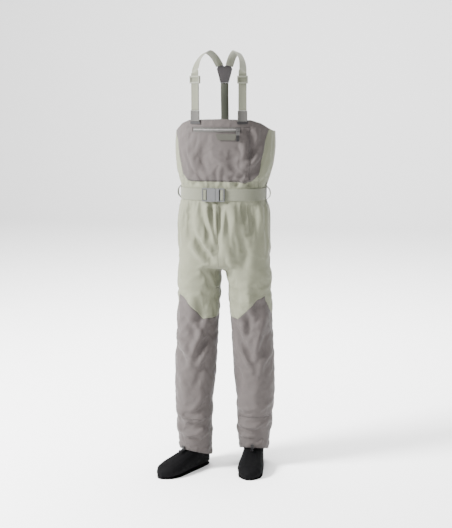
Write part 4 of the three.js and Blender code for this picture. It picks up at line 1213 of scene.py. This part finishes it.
CLOTH = 0.001
PANELS = [
    ("bib_front", taupe_cloth, "taupe_cloth", ["bib_front_panel"]),
    ("waist_front", sage_cloth, "sage_cloth", ["front_waist_panel"]),
    ("back", sage_cloth, "sage_cloth", ["back_panel"]),
    ("right_flank", sage_cloth, "sage_cloth", ["right_side_panel"]),
    ("left_flank", sage_cloth, "sage_cloth", ["left_side_panel"]),
    ("gusset", sage_cloth, "sage_cloth", ["crotch_gusset"]),
]
for side in STANCE:
    PANELS += [(side + "_front_leg", sage_cloth, "sage_cloth", [side + "_front_leg_panel"]),
               (side + "_seat", sage_cloth, "sage_cloth", [side + "_seat_panel"]),
               (side + "_lower_leg_cloth", taupe_cloth, "taupe_cloth",
                [side + "_knee_panel", side + "_shin_panel"]),
               (side + "_guard", taupe_cloth, "taupe_cloth", [side + "_gravel_guard"])]
HANGS_FROM = {"bib_front": "right_strap_anchor", "waist_front": "bib_front_cloth", "back": "back_strap_patch",
              "right_flank": "bib_front_cloth", "left_flank": "bib_front_cloth", "gusset": "waist_front_cloth"}


def cut_size(wanted):
    """Width, height and area of a panel as it was cut, before it was hung, in metres. The cut narrows, so its
    greatest width is taken as 15 % over the mean."""
    area = 0.0
    for i in np.flatnonzero(wanted):
        corner = smooth_points[list(polygon_verts[i])]
        for k in range(1, len(corner) - 1):
            area += 0.5 * np.linalg.norm(np.cross(corner[k] - corner[0], corner[k + 1] - corner[0]))
    inside = np.unique(np.concatenate([np.array(polygon_verts[i]) for i in np.flatnonzero(wanted)]))
    height = float(np.ptp(smooth_points[inside, 2]))
    width = 1.15 * area / height
    return (round(width, 3), round(height, 3)), round(area, 4)


for name, material, slot, nodes in PANELS:
    piece = thicken(copy_out(name + "_cloth" if not name.endswith("cloth") else name, panel == name), CLOTH)
    side = name.split("_")[0]
    flat, area = cut_size(panel == name)
    print(name, "cut", flat, "m, area", area, "m2")
    above = HANGS_FROM.get(name) or {"guard": side + "_lower_leg_cloth", "cloth": side + "_front_leg_cloth",
                                     "seat": "back_cloth", "leg": "waist_front_cloth"}[name.split("_")[-1]]
    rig.sheet(piece, flat=flat, held="hung", rests_on=[above], area=area)
    if name.endswith("lower_leg_cloth"):
        finish_piece(piece, material, slot, None, nodes)
        knee = to_model(*STANCE[side]["knee"], KNEE)
        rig.blend(piece, "garment", side + "_lower_leg", (knee.x, knee.y, 0.594), (knee.x, knee.y, 0.44))
    else:
        finish_piece(piece, material, slot,
                     side + "_lower_leg" if name.endswith("guard") else "garment", nodes)

# %% [markdown]
# ## The chest pocket
# The pocket is a second layer of the same cloth, sewn over the bib, with a slot for its zip. Copying the
# bib's own faces and lifting them by a millimetre keeps both layers in the same folds, as sewn cloth is.

# %% The pocket layer


def frame_distance(points, outline):
    flat = chest_frame(own(points))[:, [0, 2]]
    return drape_line(flat, outline)[0] / 1000


in_pocket = (panel == "bib_front") & (seen_of[:, 0] > -131) & (seen_of[:, 0] < 101) \
    & (seen_of[:, 2] > 1132) & (seen_of[:, 2] < 1330)
in_slot = (seen_of[:, 0] > -109.5) & (seen_of[:, 0] < 67.5) & (np.abs(seen_of[:, 2] - 1321) < 8.3)
pocket_edge = np.minimum(frame_distance(smooth_points, POCKET), frame_distance(smooth_points, ZIP_SLOT))
pocket_cloth = copy_out("pocket_cloth", in_pocket & ~in_slot, pocket_edge, 0.0005)
thicken(pocket_cloth, 0.0011, 1)
finish_piece(pocket_cloth, taupe_cloth, "taupe_cloth", "garment", ["chest_pocket_panel"])

# %% [markdown]
# The pocket's lining is made from the same faces, a little further in, so it can't come through the bib.

# %% The lining behind it

lining = thicken(copy_out("pocket_lining_cloth", in_pocket, None, -0.0028), 0.0005)
finish_piece(lining, taupe_cloth, "taupe_cloth", "garment", ["pocket_lining"])

# %% [markdown]
# Waterproof seams are taped inside. A strip of the back's own faces, moved in, follows the cloth as tape
# does.

# %% The tape over the seam inside the back

low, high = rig.box("back_seam_tape")
smooth_centres = smooth_points[[v[0] for v in polygon_verts]]
taped = (smooth_centres[:, 0] > low.x) & (smooth_centres[:, 0] < high.x) \
    & (smooth_centres[:, 1] > low.y - 0.02) \
    & (smooth_centres[:, 2] > low.z) & (smooth_centres[:, 2] < high.z)
print("back tape faces", int(taped.sum()), "box", [round(v, 3) for v in (*low, *high)])
back_tape = thicken(copy_out("back_tape_strip", taped, None, -0.0024), 0.0004)
finish_piece(back_tape, sage_cloth, "seam_tape", "garment", ["back_seam_tape"])
bpy.data.objects.remove(shell)
print("panels:", len(PANELS), "and the pocket")

# %% [markdown]
# ## Webbing
# Suspenders and belt are flat woven tape, two millimetres thick, with a slightly raised woven edge. Tape
# is made by sweeping a small rounded section along a smooth curve, with one direction that always faces
# outwards. It keeps a map of its own, across, along and distance to the edge, so that the ribs run along
# the tape.

# %% A smooth path and a tape


def smooth_path(points, steps):
    """A centripetal curve through points, the same kind the hard parts were laid along."""
    p = [np.array(v, float) for v in points]
    p = [2 * p[0] - p[1], *p, 2 * p[-1] - p[-2]]
    out = []
    for k in range(steps + 1):
        at = k / steps * (len(points) - 1)
        i = min(int(at), len(points) - 2)
        t = at - i
        a, b, c, d = p[i : i + 4]
        ab, bc, cd = (max(np.linalg.norm(v), 1e-9) ** 0.5 for v in (b - a, c - b, d - c))
        m1 = ((b - a) / ab - (c - a) / (ab + bc) + (c - b) / bc) * bc
        m2 = ((c - b) / bc - (d - b) / (bc + cd) + (d - c) / cd) * bc
        out.append(b * (2 * t**3 - 3 * t**2 + 1) + m1 * (t**3 - 2 * t**2 + t)
                   + c * (3 * t**2 - 2 * t**3) + m2 * (t**3 - t**2))
    return np.array(out)


SECTION = [(-1, -0.5), (-1, 0.5), (-0.96, 0.9), (-0.9, 1), (-0.84, 0.82), (0, 0.8), (0.84, 0.82), (0.9, 1),
           (0.96, 0.9), (1, 0.5), (1, -0.5), (0.96, -0.9), (0, -0.9), (-0.96, -0.9)]


def tape(name, path, outwards, width, thickness=2.0, closed=False):
    """A tape through points in model metres. Width and thickness are in millimetres."""
    path, outwards = np.array(path, float), np.array(outwards, float)
    ahead = np.roll(path, -1, 0) - np.roll(path, 1, 0)
    if not closed:
        ahead[0], ahead[-1] = path[1] - path[0], path[-1] - path[-2]
    ahead /= np.linalg.norm(ahead, axis=1)[:, None]
    across = np.cross(outwards, ahead)
    across /= np.linalg.norm(across, axis=1)[:, None]
    out = np.cross(ahead, across)
    n = len(SECTION)
    gone = np.concatenate([[0], np.cumsum(np.linalg.norm(np.diff(path, axis=0), axis=1))])
    points, seen = [], []
    for i in range(len(path)):
        for w, t in SECTION:
            points.append(path[i] + across[i] * w * width / 2000 + out[i] * t * thickness / 2000)
            seen.append((w * width / 2000, gone[i], (1 - abs(w)) * width / 2000))
    rows = len(path) if closed else len(path) - 1
    faces = [(i * n + j, (i + 1) % len(path) * n + j,
              (i + 1) % len(path) * n + (j + 1) % n, i * n + (j + 1) % n)
             for i in range(rows) for j in range(n)]
    if not closed:
        faces += [tuple(range(n)), tuple(range((len(path) - 1) * n, len(path) * n))[::-1]]
    item = new_object(name, points, faces)
    shape = bmesh.new()
    shape.from_mesh(item.data)
    bmesh.ops.recalc_face_normals(shape, faces=shape.faces)
    shape.to_mesh(item.data)
    shape.free()
    give_map(item, seen)
    return item


# %% [markdown]
# Webbing has ribs across it and cords along it, and a slightly darker woven edge.

# %% The webbing finish


def webbing_finish(name, colour, rib=0.0016):
    made, tree, shader = start_finish(name, 0.82, sheen=0.12)
    at = add_node(tree, "ShaderNodeAttribute", attribute_name="cloth_map").outputs["Vector"]
    place = add_node(tree, "ShaderNodeTexCoord").outputs["Object"]
    parts = add_node(tree, "ShaderNodeSeparateXYZ", {0: at})
    ribs = wave(tree, at, rib, "Y")
    cords = wave(tree, at, 0.0024, "X")
    twill = wave(tree, at, 0.0030, "DIAGONAL")
    cloth = maths(tree, "MULTIPLY_ADD", cords, 0.6, maths(tree, "MULTIPLY", ribs, twill))
    selvedge = maths(tree, "LESS_THAN", parts.outputs["Z"], 0.0018)
    tone = mix_colour(tree, noise(tree, place, 30, 4, 0.6), shade(colour, 0.9), shade(colour, 1.08))
    tone = mix_colour(tree, maths(tree, "MULTIPLY", cloth, 0.35), shade(colour, 0.8), tone)
    tone = mix_colour(tree, maths(tree, "MULTIPLY", selvedge, 0.25), tone, shade(colour, 0.85))
    tree.links.new(tone, shader.inputs["Base Color"])
    bump = add_node(tree, "ShaderNodeBump", {"Height": cloth, "Distance": 0.0003, "Strength": 0.5})
    tree.links.new(bump.outputs["Normal"], shader.inputs["Normal"])
    return made


sage_tape = webbing_finish("sage_webbing", linear((146, 148, 128)))
grey_tape = webbing_finish("grey_webbing", linear((104, 102, 98)))
olive_tape = webbing_finish("olive_webbing", linear((66, 69, 55)))
dark_tape = webbing_finish("charcoal_tape", linear((42, 40, 40)), 0.0012)

# %% [markdown]
# ## Suspenders
# Each front strap rises from the bib, passes its adjuster, arches over where the shoulder would be, and
# runs down to the yoke between the shoulder blades. A doubled end comes back up behind it. The points are
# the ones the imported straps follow, in the chest's frame.

# %% Where a strap meets the bib

STRAP_MIDDLE, ANCHOR_ACROSS = -13, 87
ANCHOR_Z, STRAP_FOOT, ADJUSTER_Z, STRAP_TOP, YOKE_TOP = 1346, 1390.3, 1502, 1604, 1558


def chest_front(x, z):
    right, left, front, _, squareness = torso_at(z)[:5]
    half = right if x < 0 else left
    share = abs(x) / half
    depth = (1 - share**squareness) ** (1 / squareness)
    slope = front / half * (share / depth) ** (squareness - 1)
    return -front * depth, math.copysign(math.atan(slope), x)


def chest_points(points):
    return [to_model(*p, True) for p in points]


def chest_turned(directions):
    c, s = math.cos(CHEST_TURN), math.sin(CHEST_TURN)
    return [(x * c - y * s, x * s + y * c, z) for x, y, z in directions]


# %% [markdown]
# One loop makes both sides. The straight part stands off the bib, and the rest is a smooth arch to the
# yoke.

# %% Straps, returns and holders

for side, m in (("right", -1), ("left", 1)):
    x = STRAP_MIDDLE + m * ANCHOR_ACROSS
    y, angle = chest_front(x, ANCHOR_Z)
    away = (math.sin(angle), -math.cos(angle), 0)
    fx, fy = x + 4 * away[0], y + 4 * away[1]
    straight = [STRAP_FOOT, ADJUSTER_Z - 20, ADJUSTER_Z + 14, ADJUSTER_Z + 26]
    across = lambda share, m=m: STRAP_MIDDLE + m * share * ANCHOR_ACROSS
    route = [(fx, fy, z) for z in straight] + [
        (fx, fy + 14, STRAP_TOP - 66), (across(0.93), -66, STRAP_TOP - 32), (across(0.64), -5, STRAP_TOP),
        (across(0.4), 45, STRAP_TOP - 16), (across(0.21), 88, YOKE_TOP - 4)]
    looks = [away] * 4 + [(m * 0.45, -0.9, 0.1), (m * 0.7, -0.6, 0.6), (m * 0.45, 0, 1), (m * 0.1, 0.6, 0.9),
                          (0, 1, 0.35)]
    path = smooth_path(chest_points(route), 90)
    facing = smooth_path(chest_turned(looks), 90)
    strap = tape(side + "_strap_webbing", path, facing, 30)
    finish_piece(strap, sage_tape, "sage_webbing", "garment", [side + "_shoulder_strap"])

    def on_bib(across, out, z, x=x, y=y, angle=angle):
        return to_model(x + across * math.cos(angle) + out * math.sin(angle),
                        y + across * math.sin(angle) - out * math.cos(angle), z, True)

    facing = chest_turned([away])[0]
    back = [on_bib(0, 4 - 3.2, z) for z in np.linspace(STRAP_FOOT, ADJUSTER_Z + 8, 24)]
    strap_return = tape(side + "_return_webbing", back, [facing] * 24, 30)
    finish_piece(strap_return, olive_tape, "olive_webbing", "garment", [side + "_strap_return"])
    hold = [on_bib(0, 3.0 + 0.25 * math.sin(k / 15 * math.pi), z)
            for k, z in enumerate(np.linspace(1351, 1390, 16))]
    holder = tape(side + "_holder_webbing", hold, [facing] * 16, 36, 5)
    finish_piece(holder, grey_tape, "grey_webbing", "garment", [side + "_strap_holder"])
print("front straps", round(sum(np.linalg.norm(np.diff(path, axis=0), axis=1)), 3), "m long")

# %% [markdown]
# The back strap is the elastic one. It runs flat up the back from its patch to the yoke.

# %% The back strap

back_face = torso_at(1246)[3]
outer = 88 + 1 + 0.6
yoke_bottom = YOKE_TOP - 68
line = [(back_face + 3, 1278), (back_face + 3, 1310), (back_face - 2, 1388), (outer + 1, yoke_bottom - 40),
        (outer + 1, yoke_bottom - 0.3)]
path = smooth_path(chest_points([(STRAP_MIDDLE, y, z) for y, z in line]), 40)
back_strap = tape("back_strap_webbing", path, chest_turned([(0, 1, 0)]) * 41, 30)
finish_piece(back_strap, olive_tape, "olive_webbing", "garment", ["back_strap"])

# %% [markdown]
# ## Belt
# The wading belt is wide elastic webbing that lies on the shell without being sewn to it. Its path is the
# waist's own ring, a little larger, left open in front where the buckle joins its ends. Each end folds
# round the bar of its half of the buckle.

# %% The belt and its folded ends

right, left, front, back, squareness, across, turn = torso_at(BELT)
fine_ring = superellipse((across, 0), [v + 3.0 for v in (right, left, front, back)], squareness, turn, 720)
order = [i % 720 for i in range(540, 540 + 720)]
ring = [fine_ring[i] for i in order]
ring = [p for p in ring if not (p[1] < 0 and -62.5 < p[0] < 15.5)]
lengths = np.concatenate([[0], np.cumsum(np.linalg.norm(np.diff(np.array(ring), axis=0), axis=1))])
even = np.linspace(0, lengths[-1], 200)
ring = np.column_stack([np.interp(even, lengths, np.array(ring)[:, k]) for k in (0, 1)])
ahead = np.gradient(ring, axis=0)
outs = np.column_stack([ahead[:, 1], -ahead[:, 0], np.zeros(200)])
wander = 0.5 * np.sin(even / 41.0) + 0.3 * np.sin(even / 17.0)
path = [to_model(p[0], p[1], BELT + w) for p, w in zip(ring, wander)]
belt = tape("belt_tape", path, outs, 45)
finish_piece(belt, sage_tape, "sage_webbing", "garment", ["belt_webbing"])
print("belt webbing", round(float(lengths[-1])), "mm between the buckle's bars")


def rounded_loop(x0, x1, y0, y1, z, radius=2.4):
    out = []
    corners = [(x1 - radius, y1 - radius, 0), (x0 + radius, y1 - radius, 90), (x0 + radius, y0 + radius, 180),
               (x1 - radius, y0 + radius, 270)]
    for cx, cy, start in corners:
        for a in np.radians(np.linspace(start, start + 90, 6)):
            out.append((cx + radius * math.cos(a), cy + radius * math.sin(a), z))
    return out


BUCKLE_BACK = -112.8
for side, x0, x1, body in (("right", -62.6, -49.0, "garment"), ("left", 2.0, 15.6, "buckle_plug_body")):
    loop = rounded_loop(x0 + 1, x1 - 1, BUCKLE_BACK - 6.4, BUCKLE_BACK - 1.4, BELT)
    middle = np.array(loop).mean(0)
    fold = tape(side + "_fold_webbing", [to_model(*p) for p in loop], [np.array(p) - middle for p in loop], 39,
                closed=True)
    finish_piece(fold, sage_tape, "sage_webbing", body, ["belt_fold_" + side])

# %% [markdown]
# A loop is a short tape that is sewn down above and below the belt and bows out around it.

# %% Belt loops

for name, angle, bulge, width in (("right_belt_loop", 180, 15, 18), ("left_belt_loop", 0, 15, 18),
                                  ("back_belt_loop", 90, 1.5, 30)):
    turn = math.radians(angle)
    out = np.array([math.cos(turn), math.sin(turn), 0])

    def shell_at(z, angle=angle):
        return torso_ring(z, 32)[round(angle / 360 * 32) % 32]

    at = shell_at(BELT)
    gap_out = lambda dz: float((shell_at(BELT + dz) - at) @ out) + 2.8
    clear, reach = 3.2 + 1 + 1, 22.5
    profile = [(reach + 16, gap_out(reach + 16)), (reach + 5, max(gap_out(reach + 5), clear)),
               (reach - 8, clear + 0.75 * bulge), (0, clear + bulge), (8 - reach, clear + 0.8 * bulge),
               (-reach - 5, max(gap_out(-reach - 5), clear)), (-reach - 16, gap_out(-reach - 16))]
    points = [to_model(at[0] + out[0] * d, at[1] + out[1] * d, BELT + dz) for dz, d in profile]
    loop = tape(name + "_webbing", smooth_path(points, 40), [out] * 41, width)
    finish_piece(loop, sage_tape, "sage_webbing", "garment", [name])

# %% [markdown]
# ## The zip
# A water-resistant chest zip is a woven tape with a row of moulded coil teeth that catches the light. One
# tooth is a block with its edges beveled; it is copied along the arc of the zip as one mesh, because a
# row of a hundred small things is best kept as one piece.

# %% Zip tape

ZIP_RADIUS, ZIP_Z = 310, 1321
ZIP_BACK = chest_front(0, ZIP_Z)[0] - 0.3 - 1.5 + ZIP_RADIUS


def on_zip(x, reach, z=ZIP_Z):
    angle = x / ZIP_RADIUS
    return to_model(math.sin(angle) * reach, ZIP_BACK - math.cos(angle) * reach, z, True)


def zip_out(x):
    angle = x / ZIP_RADIUS
    return chest_turned([(math.sin(angle), -math.cos(angle), 0)])[0]


runs = np.linspace(-109, 67, 60)
zip_tape = tape("zip_side_tape", [on_zip(x, ZIP_RADIUS + 1) for x in runs], [zip_out(x) for x in runs], 16)
finish_piece(zip_tape, grey_tape, "grey_webbing", "garment", ["zip_tape"])

# %% [markdown]
# The tooth is modelled once, lying at the origin, and each copy is turned to face out from the chest's
# curve.

# %% One tooth, copied along the arc

deselect()
bpy.ops.mesh.primitive_cube_add(size=1, location=(0, 0, 0))
tooth = bpy.context.object
bpy.ops.object.mode_set(mode="EDIT")
bpy.ops.transform.resize(value=(0.0012, 0.0018, 0.0048))
bpy.ops.mesh.bevel(offset=0.0004, segments=2, affect="EDGES")
bpy.ops.object.mode_set(mode="OBJECT")
tooth_points = coords(tooth)
tooth_faces = [tuple(p.vertices) for p in tooth.data.polygons]
points, faces = [], []
for count, x in enumerate(np.arange(-107.5, 66, 1.75)):
    out = Vector(zip_out(x))
    along = Vector((0, 0, 1)).cross(out).normalized()
    centre = on_zip(x, ZIP_RADIUS + 3.3)
    base = len(points)
    for p in tooth_points:
        points.append(centre + along * p[0] + out * p[1]
                      + Vector((0, 0, 1)) * (p[2] + (0.0002 if count % 2 else -0.0002)))
    faces += [tuple(base + v for v in f) for f in tooth_faces]
bpy.data.objects.remove(tooth)
teeth = new_object("zip_teeth", points, faces)
print(count + 1, "teeth")

# %% [markdown]
# ## Hard finishes
# Moulded buckles are satin plastic with a fine spark-eroded grain, and their colour is made lighter on every
# convex edge. Small metal parts are cast and brushed. Both keep the imported shapes, which have the right size:
# a Weld modifier joins their loose triangles and a small Bevel breaks the edges, without changing the mesh itself.

# %% Plastic and metal


def moulded(name, colour, roughness=0.45, grain=900):
    made, tree, shader = start_finish(name, roughness)
    place = add_node(tree, "ShaderNodeTexCoord").outputs["Object"]
    fine_grain = noise(tree, place, grain, 2)
    scuff = noise(tree, place, 120, 5, 0.7)
    tone = mix_colour(tree, noise(tree, place, 25, 3), shade(colour, 0.92), shade(colour, 1.07))
    edge = add_node(tree, "ShaderNodeNewGeometry").outputs["Pointiness"]
    # The colour is made lighter on convex edges, where the surface is most pointed.
    lighter_edges = maths(tree, "MULTIPLY", maths(tree, "SUBTRACT", edge, 0.52, clamp=True), 6.0, clamp=True)
    tone = mix_colour(tree, lighter_edges, tone, shade(colour, 1.35))
    tree.links.new(tone, shader.inputs["Base Color"])
    tree.links.new(maths(tree, "MULTIPLY_ADD", scuff, 0.25, roughness - 0.12), shader.inputs["Roughness"])
    bump = add_node(tree, "ShaderNodeBump", {"Height": fine_grain, "Distance": 0.0001, "Strength": 0.5})
    tree.links.new(bump.outputs["Normal"], shader.inputs["Normal"])
    return made


def brushed(name, colour, roughness=0.32):
    made, tree, shader = start_finish(name, roughness, metallic=1.0)
    place = add_node(tree, "ShaderNodeTexCoord").outputs["Object"]
    stretched = add_node(tree, "ShaderNodeMapping", {"Vector": place,
                                                     "Scale": (40, 40, 1500)}).outputs["Vector"]
    lines = noise(tree, stretched, 1.0, 3)
    tone = mix_colour(tree, noise(tree, place, 90, 4), shade(colour, 0.8), shade(colour, 1.1))
    tree.links.new(tone, shader.inputs["Base Color"])
    tree.links.new(maths(tree, "MULTIPLY_ADD", lines, 0.3, roughness - 0.1), shader.inputs["Roughness"])
    bump = add_node(tree, "ShaderNodeBump", {"Height": lines, "Distance": 0.0001, "Strength": 0.3})
    tree.links.new(bump.outputs["Normal"], shader.inputs["Normal"])
    return made


def rubber(name, colour, roughness=0.8, cell=1400, depth=0.0002):
    made, tree, shader = start_finish(name, roughness, specular=0.08)
    place = add_node(tree, "ShaderNodeTexCoord").outputs["Object"]
    knit = add_node(tree, "ShaderNodeTexVoronoi", {"Vector": place, "Scale": cell}).outputs["Distance"]
    tone = mix_colour(tree, noise(tree, place, 14, 4, 0.6), shade(colour, 0.75), shade(colour, 1.3))
    tree.links.new(tone, shader.inputs["Base Color"])
    tree.links.new(maths(tree, "MULTIPLY_ADD", noise(tree, place, 40, 4), 0.25, roughness - 0.12),
                   shader.inputs["Roughness"])
    height = maths(tree, "MULTIPLY_ADD", noise(tree, place, 60, 3), 1.5, knit)
    bump = add_node(tree, "ShaderNodeBump", {"Height": height, "Distance": depth, "Strength": 0.6})
    tree.links.new(bump.outputs["Normal"], shader.inputs["Normal"])
    return made


buckle_plastic = moulded("buckle_plastic", linear((112, 113, 114)))
latch_plastic = moulded("latch_plastic", linear((60, 60, 62)), 0.5)
adjuster_plastic = moulded("adjuster_plastic", linear((150, 152, 136)))
anchor_plastic = moulded("charcoal_trim", linear((34, 32, 33)), 0.6)
coil_nylon = moulded("zip_coil_nylon", linear((186, 182, 180)), 0.32)
zip_metal = brushed("zip_metal", linear((150, 148, 146)))
hook_steel = brushed("hook_steel", linear((95, 95, 98)), 0.38)
neoprene = rubber("neoprene", linear((9, 9, 11)))
sole_rubber = rubber("sole_rubber", linear((14, 14, 15)), 0.75, 500, 0.0005)
elastic_band = webbing_finish("elastic", linear((30, 30, 32)), 0.0012)
seam_tape = moulded("seam_tape", linear((196, 197, 192)), 0.5)
patch_cloth = rubber("patch_laminate", linear((96, 95, 88)), 0.6, 700, 0.0001)
yoke_cloth = rubber("yoke_laminate", linear((74, 71, 72)), 0.7, 500, 0.0002)
finish_piece(teeth, coil_nylon, "zip_coil_nylon", "garment", ["zip_coil"])
only(teeth)
bpy.ops.object.shade_smooth_by_angle(angle=math.radians(35))

# %% [markdown]
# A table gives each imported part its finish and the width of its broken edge, and a loop applies them.

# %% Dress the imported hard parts

HARD = {
    "buckle_socket": (buckle_plastic, 0.0006), "buckle_plug": (buckle_plastic, 0.0006),
    "latch_arm_upper": (latch_plastic, 0.0005), "latch_arm_lower": (latch_plastic, 0.0005),
    "zip_slider": (zip_metal, 0.0003), "zip_pull": (zip_metal, 0.0002),
    "zip_pull_grip": (anchor_plastic, 0.0006),
    "back_strap_patch": (yoke_cloth, 0.0006), "yoke": (yoke_cloth, 0.0004),
    "dock_patch": (patch_cloth, 0.0003),
}
for side in STANCE:
    HARD.update({
        side + "_adjuster": (adjuster_plastic, 0.0006), side + "_strap_anchor": (anchor_plastic, 0.0006),
        side + "_lace_hook": (hook_steel, 0.0002), side + "_hook_tab": (dark_tape, 0.0003),
        side + "_hem_elastic": (elastic_band, 0), side + "_sock_seam_tape": (seam_tape, 0),
    })
for name, (material, edge) in HARD.items():
    node = frame["nodes"][name]
    node.data.materials.clear()
    node.data.materials.append(material)
    if edge:
        weld = node.modifiers.new("join", "WELD")
        weld.merge_threshold = 0.00002
        bevel = node.modifiers.new("broken edge", "BEVEL")
        bevel.width = edge
        bevel.segments = 2
        bevel.limit_method = "ANGLE"
        bevel.angle_limit = math.radians(35)
print(len(HARD), "packed parts dressed")

# %% [markdown]
# ## Neoprene socks
# A sock is sewn from thick neoprene, so it has no sharp edge anywhere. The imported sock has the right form
# but flat facets. A copy of it is welded, remeshed into even small faces, and smoothed a little, which
# rounds it the way foam rounds over a foot. The sole gets a broad bevel instead.

# %% Round the socks and soles

for side in STANCE:
    for part, material, slot in (("sock", neoprene, "neoprene"), ("sole", sole_rubber, "sole_rubber")):
        node = frame["nodes"][f"{side}_{part}"]
        piece = bpy.data.objects.new(f"{side}_{part}_form", node.data.copy())
        scene.collection.objects.link(piece)
        join = piece.modifiers.new("join", "WELD")
        join.merge_threshold = 0.00002
        if part == "sock":
            even = piece.modifiers.new("even", "REMESH")
            even.mode = "VOXEL"
            even.voxel_size = 0.0022
            round_off = piece.modifiers.new("round", "SMOOTH")
            round_off.factor = 0.6
            round_off.iterations = 14
        else:
            broad = piece.modifiers.new("broad edge", "BEVEL")
            broad.width = 0.0012
            broad.segments = 3
            broad.limit_method = "ANGLE"
        apply_all(piece)
        finish_piece(piece, material, slot, side + "_lower_leg", [f"{side}_{part}"])
        if part == "sole":
            only(piece)
            bpy.ops.object.shade_smooth_by_angle(angle=math.radians(40))
        print(piece.name, len(piece.data.polygons), "faces")

# %% [markdown]
# ## Finished size
# The finished garment should fill the same box as the imported one. Both boxes are written down.

# %% Write the sizes and finish

shown_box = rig.bounds()
with open("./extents.json", "w") as out:
    json.dump({"cad": [list(v) for v in cad_box], "shown": [list(v) for v in shown_box]}, out)
for label, (low, high) in (("packed", cad_box), ("finished", shown_box)):
    print(label, [round(v, 4) for v in high - low])
deselect()
